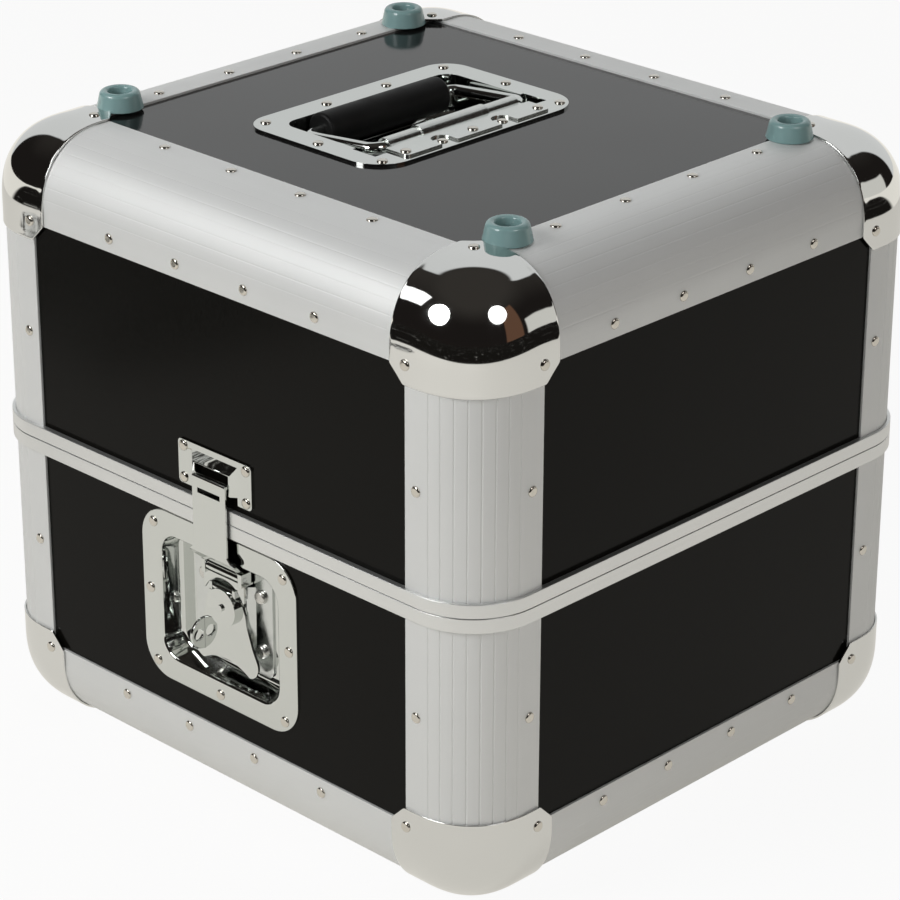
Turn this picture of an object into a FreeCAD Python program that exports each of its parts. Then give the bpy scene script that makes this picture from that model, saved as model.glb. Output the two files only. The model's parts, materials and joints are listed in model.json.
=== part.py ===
"""Record carrying case: a base and a lift-off lid of laminated plywood in aluminium profiles.

Millimetres, +Z up. The origin is under the middle of the case, on the plane that it stands on.
The front, with one latch, looks towards -Y, and the back has the other latch.
Pieces that lie on one side of the case are built in that side's own frame:
s runs along the side, t up it (or towards the back on the top), and o points outwards
from the outer plane of the edge profiles. The t of the four walls is counted from the
lowest profile plane, that of a latch from the lower edge of its dish, and that of a keeper
from its own lower edge.
"""
import FreeCAD, Part
import math
import os

V = FreeCAD.Vector

# Driving dimensions of the case
case_width = 388.0
case_depth = 362.0
case_height = 360.0
edge_radius = 39.0
flange_width = 10.5
profile_wall = 1.5
panel_thickness = 7.0
panel_tuck = 5.0
cap_sheet = 1.3
cap_overlap = 9.5

# Clearances
seat_gap = 0.1
slip_gap = 0.3
pin_gap = 0.05
overrun = 2.0

# Edge profile: fine grooves along the rounded face
groove_count = 8
groove_pitch_deg = 10.5
groove_width = 0.8
groove_depth = 0.3

# Closing profiles round the mouth
band_proud = 2.2
band_height = 8.2
base_web = 4.0
lid_web = 6.2
closing_gap = 0.3
inner_leg_wall = 1.5
inner_leg_height = 8.0
tongue_inset = 3.5
tongue_width = 2.5
tongue_height = 4.5

# Rivets
rivet_from_round = 2.5
rivet_pitch = 53.3
rivets_per_edge = 4
cap_rivet_from_round = 9.0
rivet_head_radius = 3.1
rivet_head_height = 1.1
rivet_shank_radius = 1.6
rivet_shank_length = 6.0
flush_head_radius = 3.4

# Foam pads inside
pad_thickness = 6.0
pad_margin = 0.6

# Latch dish
dish_width = 124.0
dish_height = 104.2
dish_margin_below = 16.0
dish_margin_above = 2.1
dish_corner = 20.0
dish_sheet = 1.3
dish_floor_depth = 13.0
bowl_half_width = 47.0
bowl_bottom = 14.5
bowl_top = 89.5
bowl_corner = 13.0
bowl_floor_fillet = 4.0
dish_rivet_upper = (52.0, 94.5)
dish_rivet_middle = (56.0, 52.5)
dish_rivet_lower = (52.0, 8.5)
dish_rivet_bottom = 5.5

# Latch guide, a hat-shaped plate on the floor of the dish
guide_sheet = 1.2
guide_top_depth = 8.2
guide_top_half = 14.4
guide_flank_half = 17.9
guide_bottom = 30.5
guide_top = 74.0
guide_foot_half = 31.0
guide_foot_bottom = 21.5
guide_foot_top = 84.5
guide_foot_corner = 5.0
guide_screw_half = 22.4
guide_screw_lower = 36.5
guide_screw_upper = 69.5
screw_head_radius = 3.9
screw_head_height = 2.2
screw_shank_radius = 2.0
screw_shank_length = 3.4

# Latch rotor, with its crank pin
rotor_height = 58.5
rotor_radius = 14.4
rotor_sheet = 1.0
rotor_shaft_radius = 4.0
crank_radius = 5.8
crank_thickness = 0.5
crank_offset = 2.75
crank_pin_radius = 1.8
crank_clearance = 0.75
rotor_ear_inner = 8.2
rotor_ear_thickness = 1.8
rotor_ear_below = 2.0
rotor_ear_above = 2.4

# Folding wing of the latch
wing_sheet = 1.5
wing_depth = 5.3
wing_pin_height = 69.0
wing_pin_depth = 5.0
wing_pin_radius = 1.0
wing_barrel_radius = 1.8
wing_neck_half = 7.9
wing_neck_bottom = 64.9
wing_shoulder_half = 13.0
wing_side = (16.0, 57.5)
wing_waist = (16.8, 51.5)
wing_flare = (21.4, 38.5)
wing_wide = (24.9, 31.7)
wing_tip = (18.6, 26.7)
wing_tip_radius = 6.0
wing_tip_lean_deg = 30.0
wing_bottom_middle = 26.0
boss_radius = 11.2
boss_rise = 3.3
boss_pin_radius = 2.0
boss_pin_rise = 1.2

# Padlock ring on the wing
ring_offset = 18.4
ring_height = 36.0
ring_radius = 9.5
ring_hole_radius = 3.4
ring_hole_rise = 4.4
ring_sheet = 1.9

# Hook carriage
carriage_sheet = 1.4
carriage_depth = 10.3
carriage_half = 12.6
carriage_bottom = 42.5
carriage_shelf = 75.4
carriage_ear_top = 83.4
carriage_ear_thickness = 3.0
carriage_ear_depth = 2.9
apron_bottom = 65.5
apron_depth = 4.5
apron_arc_radius = 16.7
hook_pin_height = 79.8
hook_pin_depth = 5.6
hook_pin_radius = 1.3

# Hook
hook_half = 13.2
hook_sheet = 1.4
hook_back = 3.3
hook_nose_reach = 0.8
hook_nose_height = 2.4
hook_crease = 92.5
hook_shoulder_half = 17.8
hook_shoulder_top = 95.0
hook_shoulder_rise = 4.4
hook_shoulder_bottom = 86.9
hook_barrel_half = 12.9
hook_barrel_radius = 2.5
hook_slot_half = 9.0
hook_slot_height = 2.6
hook_slot_from_top = 7.0

# Keeper on the lid
keeper_half = 29.0
keeper_rise = 12.0
keeper_height = 26.0
keeper_corner = 2.5
keeper_sheet = 1.3
hood_half = 18.0
hood_flat_half = 14.8
hood_bottom = 4.8
hood_shoulder = 17.4
hood_top = 22.4
hood_proud = 2.2
hood_slot_half = 13.4
hood_slot_bottom = 11.3
hood_slot_top = 16.6
keeper_rivet_half = 24.7
keeper_rivet_inset = 3.6

# Recessed handle on the lid, a little off the middle
handle_middle = -2.5
handle_plate_far = -80.5
handle_plate_near = 28.5
handle_plate_half = 81.0
handle_plate_corner = 17.0
handle_plate_near_corner = 22.0
handle_sheet = 1.5
pan_far = -64.0
pan_near = 9.5
pan_half = 65.0
pan_pocket_far = -6.0
pan_pocket_near = 11.5
pan_pocket_half = 67.5
pan_pocket_inner = 54.0
pan_pocket_depth = 9.0
pan_corner = 9.0
pan_depth = 24.0
pan_floor_fillet = 6.0
handle_rivets_far = -72.0
handle_rivets_far_spread = (70.0, 23.5)
handle_rivets_end = (-26.0, 74.0)
handle_rivets_near = (19.5, 70.0)
cover_near = 25.0
cover_half = 56.5
cover_sheet = 1.3
cover_corner = 3.0
cover_end_step = 8.0
cover_rivet_line = 19.3
cover_rivet_spread = 52.0
cover_scallop_radius = 6.0
cover_scallop_line = 18.5
cover_scallop_spread = 23.6
hinge_s = 1.5
hinge_depth = 1.0
barrel_half = 51.0
barrel_radius = 5.1
barrel_middle_radius = 6.1
barrel_middle_half = 26.0
barrel_middle_wall = 1.1
bail_rod_radius = 3.5
bail_arm_half = 58.0
bail_pin_inner = 29.0
bail_bend_radius = 6.5
grip_reach = 54.3
grip_drop = 5.3
grip_radius = 10.5
grip_length = 93.0
grip_round = 2.0
spring_radius = 3.4
spring_wire_radius = 0.7
spring_turns = 14
spring_check_steps = 24
spring_half = 24.0

# Stacking feet on the lid
foot_inset_x = 45.0
foot_inset_y = 69.0
foot_base_radius = 13.2
foot_top_radius = 11.4
foot_height = 10.5
foot_round = 2.2
foot_hole_radius = 7.0
foot_hole_depth = 6.5
foot_bore_radius = 2.3
foot_screw_head_radius = 4.2
foot_screw_head_height = 2.4
foot_screw_radius = 2.0
foot_screw_length = 9.0

# Derived places
ground_lift = cap_sheet
flange_reach = edge_radius + flange_width
panel_inset = edge_radius - panel_tuck
cap_reach = flange_reach + cap_overlap
rivet_inset = edge_radius + rivet_from_round
cap_rivet_inset = edge_radius + cap_rivet_from_round
dish_bottom = flange_reach + dish_margin_below
base_height = dish_bottom + dish_height + dish_margin_above + band_height
keeper_bottom = base_height + keeper_rise
hook_top = keeper_bottom + hood_slot_bottom - slip_gap - dish_bottom
half_width = case_width / 2
half_depth = case_depth / 2
foot_x = half_width - foot_inset_x
foot_y = half_depth - foot_inset_y
panel_face = profile_wall
panel_back = profile_wall + panel_thickness
leg_back = panel_back + profile_wall
band_inner = leg_back + seat_gap + inner_leg_wall
dish_face = panel_face - dish_sheet
keeper_face = panel_face - keeper_sheet

SIDES = ("front", "right", "back", "left")


# Frames of the six sides

def frame(origin, s, t):
    """Placement whose local X, Y, Z are s, t and the outward normal s x t."""
    o = s.cross(t)
    matrix = FreeCAD.Matrix(s.x, t.x, o.x, origin.x,
                            s.y, t.y, o.y, origin.y,
                            s.z, t.z, o.z, origin.z)
    return FreeCAD.Placement(matrix)


FRAMES = {
    "front": frame(V(0, -half_depth, ground_lift), V(1, 0, 0), V(0, 0, 1)),
    "back": frame(V(0, half_depth, ground_lift), V(-1, 0, 0), V(0, 0, 1)),
    "right": frame(V(half_width, 0, ground_lift), V(0, 1, 0), V(0, 0, 1)),
    "left": frame(V(-half_width, 0, ground_lift), V(0, -1, 0), V(0, 0, 1)),
    "top": frame(V(0, 0, ground_lift + case_height), V(1, 0, 0), V(0, 1, 0)),
    "bottom": frame(V(0, 0, ground_lift), V(1, 0, 0), V(0, -1, 0)),
}


def placed(shape, side, rise=0):
    """Copy of a shape from a side's frame, raised along t and moved into the case's frame."""
    moved = shape.copy()
    moved.translate(V(0, rise, 0))
    moved.Placement = FRAMES[side].multiply(moved.Placement)
    return moved


def side_half(side):
    """Half length of a wall along its s."""
    if side in ("front", "back"):
        return half_width
    return half_depth


# Basic solids

def box(x0, x1, y0, y1, z0, z1):
    return Part.makeBox(x1 - x0, y1 - y0, z1 - z0, V(x0, y0, z0))


def cylinder(radius, start, end):
    axis = end - start
    return Part.makeCylinder(radius, axis.Length, start, axis)


def rounded_face(x0, x1, y0, y1, radius, z):
    """Rectangle with round corners, lying at height z."""
    r = radius
    k = r * math.sqrt(0.5)
    corners = ((x1 - r, y1 - r, 1, 1), (x0 + r, y1 - r, -1, 1),
               (x0 + r, y0 + r, -1, -1), (x1 - r, y0 + r, 1, -1))
    edges = []
    last = None
    first = None
    for cx, cy, sx, sy in corners:
        along_x = V(cx + sx * r, cy, z)
        along_y = V(cx, cy + sy * r, z)
        middle = V(cx + sx * k, cy + sy * k, z)
        start, end = (along_x, along_y) if sx == sy else (along_y, along_x)
        if last is not None:
            edges.append(Part.LineSegment(last, start).toShape())
        else:
            first = start
        edges.append(Part.Arc(start, middle, end).toShape())
        last = end
    edges.append(Part.LineSegment(last, first).toShape())
    return Part.Face(Part.Wire(edges))


def rounded_prism(x0, x1, y0, y1, radius, z0, z1):
    return rounded_face(x0, x1, y0, y1, radius, z0).extrude(V(0, 0, z1 - z0))


def extruded(points, path):
    """Prism from a closed outline of vectors."""
    return Part.Face(Part.makePolygon(points + [points[0]])).extrude(path)


def fused(shapes):
    whole = shapes[0].fuse(shapes[1:]) if len(shapes) > 1 else shapes[0]
    return whole.removeSplitter()


# Rivets: each is a domed head on a seat, with a shank in a drilled hole

def rivet_at(side, s, t, seat):
    """A rivet on a side, with its head seated at o = seat."""
    dome = (rivet_head_radius ** 2 + rivet_head_height ** 2) / (2 * rivet_head_height)
    rim = V(rivet_head_radius, 0, 0)
    crown = V(0, 0, rivet_head_height)
    half_angle = math.asin(rivet_head_radius / dome) / 2
    middle = V(dome * math.sin(half_angle), 0,
               rivet_head_height - dome * (1 - math.cos(half_angle)))
    root = V(rivet_shank_radius, 0, 0)
    foot = V(rivet_shank_radius, 0, -rivet_shank_length)
    tail = V(0, 0, -rivet_shank_length)
    outline = Part.Wire([
        Part.Arc(crown, middle, rim).toShape(),
        Part.makeLine(rim, root),
        Part.makeLine(root, foot),
        Part.makeLine(foot, tail),
        Part.makeLine(tail, crown),
    ])
    body = Part.Face(outline).revolve(V(0, 0, 0), V(0, 0, 1), 360)
    body.translate(V(s, t, seat))
    return placed(body, side)


def rivet_hole(side, s, t, seat):
    radius = rivet_shank_radius + pin_gap
    start = V(s, t, seat + seat_gap)
    end = V(s, t, seat - rivet_shank_length - seat_gap)
    return placed(cylinder(radius, start, end), side)


def flush_rivet_at(side, s, t, seat):
    """A countersunk rivet, flush with the cap sheet whose outer face is at o = seat."""
    cone = Part.makeCone(rivet_shank_radius, flush_head_radius, cap_sheet,
                         V(s, t, seat - cap_sheet), V(0, 0, 1))
    shank = cylinder(rivet_shank_radius, V(s, t, seat - cap_sheet),
                     V(s, t, seat - rivet_shank_length))
    return placed(fused([cone, shank]), side)


def flush_rivet_hole(side, s, t, seat):
    cone = Part.makeCone(rivet_shank_radius + pin_gap, flush_head_radius + pin_gap, cap_sheet,
                         V(s, t, seat - cap_sheet), V(0, 0, 1))
    shank = cylinder(rivet_shank_radius + pin_gap, V(s, t, seat - cap_sheet),
                     V(s, t, seat - rivet_shank_length - seat_gap))
    return placed(fused([cone, shank]), side)


def row_places():
    """Places of the rivets along one edge, centred."""
    middle = (rivets_per_edge - 1) / 2
    return [(i - middle) * rivet_pitch for i in range(rivets_per_edge)]


def flange_rivets(lid):
    """(side, s, t, seat) of every rivet through the profile flanges of one half."""
    flat = "top" if lid else "bottom"
    level = case_height - rivet_inset if lid else rivet_inset
    if lid:
        post_level = (case_height - cap_reach + base_height + band_height) / 2
    else:
        post_level = (cap_reach + base_height - band_height) / 2
    places = []
    for side in SIDES:
        for s in row_places():
            places.append((side, s, level, 0))
        for sign in (-1, 1):
            places.append((side, sign * (side_half(side) - rivet_inset), post_level, 0))
    for run in row_places():
        for sign in (-1, 1):
            places.append((flat, run, sign * (half_depth - rivet_inset), 0))
            places.append((flat, sign * (half_width - rivet_inset), run, 0))
    return places


def cap_wall_rivets(lid):
    level = case_height - cap_rivet_inset if lid else cap_rivet_inset
    seat = cap_sheet
    places = []
    for side in SIDES:
        for sign in (-1, 1):
            places.append((side, sign * (side_half(side) - cap_rivet_inset), level, seat))
    return places


def cap_flat_rivets(lid):
    flat = "top" if lid else "bottom"
    seat = cap_sheet
    places = []
    for sx in (-1, 1):
        for sy in (-1, 1):
            places.append((flat, sx * (half_width - cap_rivet_inset),
                           sy * (half_depth - cap_rivet_inset), seat))
    return places


def dish_rivets(side):
    places = [(side, 0, dish_bottom + dish_rivet_bottom, -dish_face)]
    for s, t in (dish_rivet_upper, dish_rivet_middle, dish_rivet_lower):
        for sign in (-1, 1):
            places.append((side, sign * s, dish_bottom + t, -dish_face))
    return places


def keeper_rivets(side):
    places = []
    for sign in (-1, 1):
        for t in (keeper_bottom + keeper_rivet_inset,
                  keeper_bottom + keeper_height - keeper_rivet_inset):
            places.append((side, sign * keeper_rivet_half, t, -keeper_face))
    return places


def handle_rivets():
    places = []
    for sign in (-1, 1):
        for spread in handle_rivets_far_spread:
            places.append(("top", handle_rivets_far, handle_middle + sign * spread, 0))
        for s, t in (handle_rivets_end, handle_rivets_near):
            places.append(("top", s, handle_middle + sign * t, 0))
        places.append(("top", cover_rivet_line, handle_middle + sign * cover_scallop_spread, 0))
    return places


def cover_rivets():
    return [("top", cover_rivet_line, handle_middle + t, cover_sheet)
            for t in (-cover_rivet_spread, 0, cover_rivet_spread)]


def rivets(places):
    return [rivet_at(*place) for place in places]


def rivet_holes(places):
    return [rivet_hole(*place) for place in places]


def drilled(shape, holes):
    """Cut those holes that reach the shape."""
    near = [hole for hole in holes if hole.BoundBox.intersect(shape.BoundBox)]
    if not near:
        return shape
    return shape.cut(near)


# Edge profile, in a frame where u and v are the depths under its two outer planes

def edge_section():
    """The extrusion's section: grooved rounded skin, inner skin, closed chamber and two panel slots."""
    r = edge_radius
    centre = V(r, r, 0)

    def disc(radius):
        return Part.Face(Part.Wire(Part.makeCircle(radius, centre)))

    def rectangle(u0, u1, v0, v1):
        return Part.makePlane(u1 - u0, v1 - v0, V(u0, v0, 0))

    quarter = disc(r).common(rectangle(0, r, 0, r))
    flange_u = rectangle(r, flange_reach, 0, leg_back)
    flange_v = rectangle(0, leg_back, r, flange_reach)
    section = quarter.fuse([flange_u, flange_v]).removeSplitter()
    web_inset = panel_inset - profile_wall
    chamber = disc(r - profile_wall).cut(disc(r - panel_back)).common(
        rectangle(0, web_inset, 0, web_inset))
    slot_u = rectangle(panel_inset, flange_reach + overrun, panel_face, panel_back)
    slot_v = rectangle(panel_face, panel_back, panel_inset, flange_reach + overrun)
    section = section.cut([disc(r - leg_back), chamber, slot_u, slot_v])
    notches = []
    for i in range(groove_count):
        angle = math.radians(45 + (i - (groove_count - 1) / 2) * groove_pitch_deg)
        out = V(-math.cos(angle), -math.sin(angle), 0)
        across = V(out.y, -out.x, 0)
        mouth = centre + out * (r + groove_depth)
        points = [mouth + across * groove_width, mouth - across * groove_width,
                  centre + out * (r - groove_depth)]
        notches.append(Part.Face(Part.makePolygon(points + [points[0]])))
    return section.cut(notches)


def mitre_cutters(length, far_end):
    """Wedges that mitre the flanges of a profile at its near and, if asked, its far end."""
    reach = flange_reach + overrun
    r = edge_radius
    cutters = []
    ends = [(0, 1)] + ([(length, -1)] if far_end else [])
    for origin, way in ends:
        near = origin + way * (r - overrun)
        corner = origin + way * (r + seat_gap)
        deep = origin + way * (reach + seat_gap)
        wedge_u = [V(r, -overrun, near), V(reach, -overrun, near),
                   V(reach, -overrun, deep), V(r, -overrun, corner)]
        wedge_v = [V(-overrun, p.x, p.z) for p in wedge_u]
        cutters.append(extruded(wedge_u, V(0, reach + overrun, 0)))
        cutters.append(extruded(wedge_v, V(reach + overrun, 0, 0)))
    return cutters


def edge_profile(section, length, far_end):
    """Profile from its ball corner at w = 0; far_end says whether the other end has one too."""
    end = length - edge_radius if far_end else length
    lengths = [face.extrude(V(0, 0, end - edge_radius)) for face in section.Faces]
    bar = fused(lengths)
    bar.translate(V(0, 0, edge_radius))
    return bar.cut(mitre_cutters(length, far_end))


def inward(side):
    return {"front": V(0, 1, 0), "back": V(0, -1, 0), "right": V(-1, 0, 0), "left": V(1, 0, 0)}[side]


def rim_edge(section, side, lid):
    """The horizontal profile between a wall and the top or bottom."""
    u = inward(side)
    v = V(0, 0, -1 if lid else 1)
    w = u.cross(v)
    half = side_half(side)
    outer = half_depth if side in ("front", "back") else half_width
    height = ground_lift + (case_height if lid else 0)
    origin = -u * outer - w * half + V(0, 0, height)
    bar = edge_profile(section, 2 * half, True)
    bar.Placement = frame(origin, u, v)
    return bar


def corner_posts(section, lid):
    """The four vertical profiles of one half."""
    length = case_height - base_height - lid_web if lid else base_height - base_web
    length = length - seat_gap
    posts = []
    for i, side in enumerate(SIDES):
        first = inward(side)
        second = inward(SIDES[(i + 1) % 4])
        u, v = (second, first) if lid else (first, second)
        height = ground_lift + (case_height if lid else 0)
        origin = V(0, 0, height)
        for way in (first, second):
            origin = origin - V(way.x * half_width, way.y * half_depth, 0)
        bar = edge_profile(section, length, False)
        bar.Placement = frame(origin, u, v)
        posts.append(bar)
    return posts


# Ball corners

def ball_corner():
    """Pressed corner in a frame where the case's outer planes are the three coordinate planes."""
    def block(lift, size):
        cube = box(-lift, size, -lift, size, -lift, size)
        corner_edges = []
        for edge in cube.Edges:
            ends = [vertex.Point for vertex in edge.Vertexes]
            at_corner = [p for p in ends if p.distanceToPoint(V(-lift, -lift, -lift)) < seat_gap]
            if at_corner:
                corner_edges.append(edge)
        return cube.makeFillet(edge_radius + lift, corner_edges)

    shell = block(cap_sheet, cap_reach).cut(block(pin_gap, cap_reach + overrun))
    cutters = []
    inner = flange_reach
    outer = cap_reach + overrun
    slant = outer - cap_reach
    for turn in range(3):
        points = [(outer, inner - slant), (outer, outer), (inner - slant, outer)]
        ring = []
        for a, b in points:
            spot = [a, b, -overrun]
            ring.append(V(*(spot[-turn:] + spot[:-turn])) if turn else V(*spot))
        path = [0, 0, overrun + cap_reach + overrun]
        way = V(*(path[-turn:] + path[:-turn])) if turn else V(*path)
        half = Part.Face(Part.makePolygon(ring + [ring[0]])).extrude(way)
        cutters.append(half)
    tab_zone = edge_radius + seat_gap
    trimmed = shell
    for turn, cutter in enumerate(cutters):
        low = [tab_zone, tab_zone, -overrun]
        low = low[-turn:] + low[:-turn] if turn else low
        high = [outer + overrun, outer + overrun, overrun]
        high = high[-turn:] + high[:-turn] if turn else high
        zone = Part.makeBox(high[0] - low[0], high[1] - low[1], high[2] - low[2], V(*low))
        trimmed = trimmed.cut(cutter.common(zone))
    return trimmed


def ball_corners(lid, holes):
    corner = ball_corner()
    height = ground_lift + (case_height if lid else 0)
    corners = []
    for sx in (-1, 1):
        for sy in (-1, 1):
            u = V(-sx, 0, 0)
            v = V(0, -sy, 0)
            w = V(0, 0, -1 if lid else 1)
            if u.cross(v).dot(w) < 0:
                u, v = v, u
            cap = corner.copy()
            cap.Placement = frame(V(sx * half_width, sy * half_depth, height), u, v)
            corners.append(drilled(cap, holes))
    return corners


# Panels and pads

def wall_panel(side, lid):
    half = side_half(side) - panel_inset - seat_gap
    if lid:
        low = base_height + lid_web + seat_gap
        high = case_height - panel_inset - seat_gap
    else:
        low = panel_inset + seat_gap
        high = base_height - base_web - seat_gap
    return placed(box(-half, half, low, high, -panel_back, -panel_face), side)


def flat_panel(side):
    x = half_width - panel_inset - seat_gap
    y = half_depth - panel_inset - seat_gap
    return placed(box(-x, x, -y, y, -panel_back, -panel_face), side)


def flat_pad(side):
    x = half_width - flange_reach - pad_margin
    y = half_depth - flange_reach - pad_margin
    return placed(box(-x, x, -y, y, -panel_back - pad_thickness, -panel_back), side)


# Closing profiles

def mouth_ring(outset, inset, low, high):
    """Ring round the mouth between two offsets from the outer plane, measured inwards."""
    def blank(offset, extra):
        return rounded_prism(-half_width + offset, half_width - offset,
                             -half_depth + offset, half_depth - offset,
                             edge_radius - offset,
                             ground_lift + low - extra, ground_lift + high + extra)
    return blank(outset, 0).cut(blank(inset, overrun))


def packing_strips(low, high):
    """The part of the outer leg that fills the panel's step between two flanges."""
    strips = []
    for side in SIDES:
        half = side_half(side) - flange_reach - seat_gap
        strips.append(placed(box(-half, half, low, high, -panel_face + seat_gap, 0), side))
    return strips


def base_closing_profile():
    low = base_height - band_height
    web = base_height - base_web
    parts = [
        mouth_ring(-band_proud, band_inner, web, base_height),
        mouth_ring(-band_proud, -seat_gap, low, web),
        mouth_ring(leg_back + seat_gap, band_inner, web - inner_leg_height, web),
        mouth_ring(tongue_inset, tongue_inset + tongue_width, base_height,
                   base_height + tongue_height),
    ]
    for strip in packing_strips(low, web):
        parts.append(strip)
    for side in SIDES:
        half = side_half(side) - flange_reach - seat_gap
        parts.append(placed(box(-half, half, low, web, -seat_gap, seat_gap), side))
    return fused(parts)


def lid_closing_profile():
    low = base_height + closing_gap
    web = base_height + lid_web
    high = base_height + band_height
    groove_out = tongue_inset - slip_gap
    groove_in = tongue_inset + tongue_width + slip_gap
    parts = [
        mouth_ring(-band_proud, band_inner, low, web),
        mouth_ring(-band_proud, -seat_gap, web, high),
        mouth_ring(leg_back + seat_gap, band_inner, web, web + inner_leg_height),
    ]
    for strip in packing_strips(web, high):
        parts.append(strip)
    for side in SIDES:
        half = side_half(side) - flange_reach - seat_gap
        parts.append(placed(box(-half, half, web, high, -seat_gap, seat_gap), side))
    groove = mouth_ring(groove_out, groove_in, base_height, base_height + tongue_height + slip_gap)
    return fused(parts).cut(groove)


# Latch, built in the frame of its wall: X is s, Y is t from the dish's lower edge and Z is o

def bowl(margin, top_o):
    """Inside of the dish's bowl, grown by a margin, from its floor up to top_o."""
    floor = -dish_floor_depth - margin
    solid = rounded_prism(-bowl_half_width - margin, bowl_half_width + margin,
                          bowl_bottom - margin, bowl_top + margin,
                          bowl_corner + margin, floor, top_o)
    rim = [edge for edge in solid.Edges
           if all(abs(vertex.Z - floor) < seat_gap for vertex in edge.Vertexes)
           and abs(edge.CenterOfMass.z - floor) < seat_gap]
    return solid.makeFillet(bowl_floor_fillet + margin, rim)


def latch_dish():
    plate = rounded_prism(-dish_width / 2, dish_width / 2, 0, dish_height,
                          dish_corner, -panel_face, -dish_face)
    cup = bowl(dish_sheet, -panel_face)
    return plate.fuse(cup).cut(bowl(0, overrun)).removeSplitter()


def latch_panel_cut():
    """Opening in the wall behind a latch, with room round the bowl."""
    room = slip_gap + dish_sheet
    return rounded_prism(-bowl_half_width - room, bowl_half_width + room,
                         bowl_bottom - room, bowl_top + room,
                         bowl_corner + room, -panel_back - overrun, overrun)


def screw_places():
    return [(sign * guide_screw_half, t) for sign in (-1, 1)
            for t in (guide_screw_lower, guide_screw_upper)]


def hat_prism(inset, low_o, high_o, low_t, high_t):
    """Flat-topped ridge with leaning flanks, drawn in by an inset."""
    flank = guide_flank_half - inset
    top = guide_top_half - inset
    outline = [V(-flank, low_t, low_o), V(flank, low_t, low_o),
               V(top, low_t, high_o), V(-top, low_t, high_o)]
    return extruded(outline, V(0, high_t - low_t, 0))


def latch_guide():
    floor = -dish_floor_depth
    sheet = guide_sheet
    foot = floor + sheet
    plate = rounded_prism(-guide_foot_half, guide_foot_half, guide_foot_bottom, guide_foot_top,
                          guide_foot_corner, floor, foot)
    inside = guide_flank_half - sheet
    channel = box(-inside, inside, guide_bottom, guide_foot_top + overrun,
                  floor - overrun, foot + overrun)
    hat = hat_prism(0, foot, -guide_top_depth, guide_bottom, guide_top)
    hollow = hat_prism(sheet, foot, -guide_top_depth - sheet,
                       guide_bottom - overrun, guide_top + overrun)
    guide = plate.cut(channel).fuse(hat).cut(hollow)
    centre = V(0, rotor_height, -guide_top_depth - sheet - overrun)
    bore = cylinder(rotor_shaft_radius + pin_gap, centre,
                    V(0, rotor_height, -guide_top_depth + overrun))
    holes = [cylinder(screw_shank_radius + pin_gap, V(s, t, floor - overrun),
                      V(s, t, foot + overrun)) for s, t in screw_places()]
    return guide.cut([bore] + holes).removeSplitter()


def latch_screws():
    screws = []
    seat = -dish_floor_depth + guide_sheet
    for s, t in screw_places():
        head = cylinder(screw_head_radius, V(s, t, seat), V(s, t, seat + screw_head_height))
        head = head.makeFillet(screw_head_height / 2,
                               [e for e in head.Edges if e.CenterOfMass.z > seat + seat_gap
                                and len(e.Vertexes) == 1])
        shank = cylinder(screw_shank_radius, V(s, t, seat - screw_shank_length), V(s, t, seat))
        screws.append(fused([head, shank]))
    return screws


def screw_holes():
    seat = -dish_floor_depth + guide_sheet
    return [cylinder(screw_shank_radius + pin_gap,
                     V(s, t, seat - screw_shank_length - overrun), V(s, t, seat + overrun))
            for s, t in screw_places()]


def latch_rotor():
    """Disc with two ears for the wing's pin, its shaft, and the crank that lifts the carriage."""
    back = -guide_top_depth + seat_gap
    front = back + rotor_sheet
    shaft_back = -guide_top_depth - guide_sheet - seat_gap
    crank_back = shaft_back - crank_thickness
    pin_back = -carriage_depth - carriage_sheet + seat_gap
    centre_t = rotor_height
    disc = cylinder(rotor_radius, V(0, centre_t, back), V(0, centre_t, front))
    shaft = cylinder(rotor_shaft_radius, V(0, centre_t, shaft_back), V(0, centre_t, front))
    crank = cylinder(crank_radius, V(0, centre_t, crank_back), V(0, centre_t, shaft_back))
    pin_t = centre_t - crank_offset
    pin = cylinder(crank_pin_radius, V(0, pin_t, pin_back), V(0, pin_t, shaft_back))
    reach = rotor_ear_inner + rotor_ear_thickness
    tab = box(-reach, reach, centre_t, wing_pin_height + rotor_ear_above, back, front)
    ears = []
    bores = []
    for sign in (-1, 1):
        inner = sign * rotor_ear_inner
        outer = sign * (rotor_ear_inner + rotor_ear_thickness)
        low, high = min(inner, outer), max(inner, outer)
        ears.append(box(low, high, wing_pin_height - rotor_ear_below,
                        wing_pin_height + rotor_ear_above, back,
                        -wing_pin_depth + wing_barrel_radius - pin_gap))
        bores.append(cylinder(wing_pin_radius + pin_gap,
                              V(low - overrun, wing_pin_height, -wing_pin_depth),
                              V(high + overrun, wing_pin_height, -wing_pin_depth)))
    return fused([disc, shaft, crank, pin, tab] + ears).cut(bores)


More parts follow.
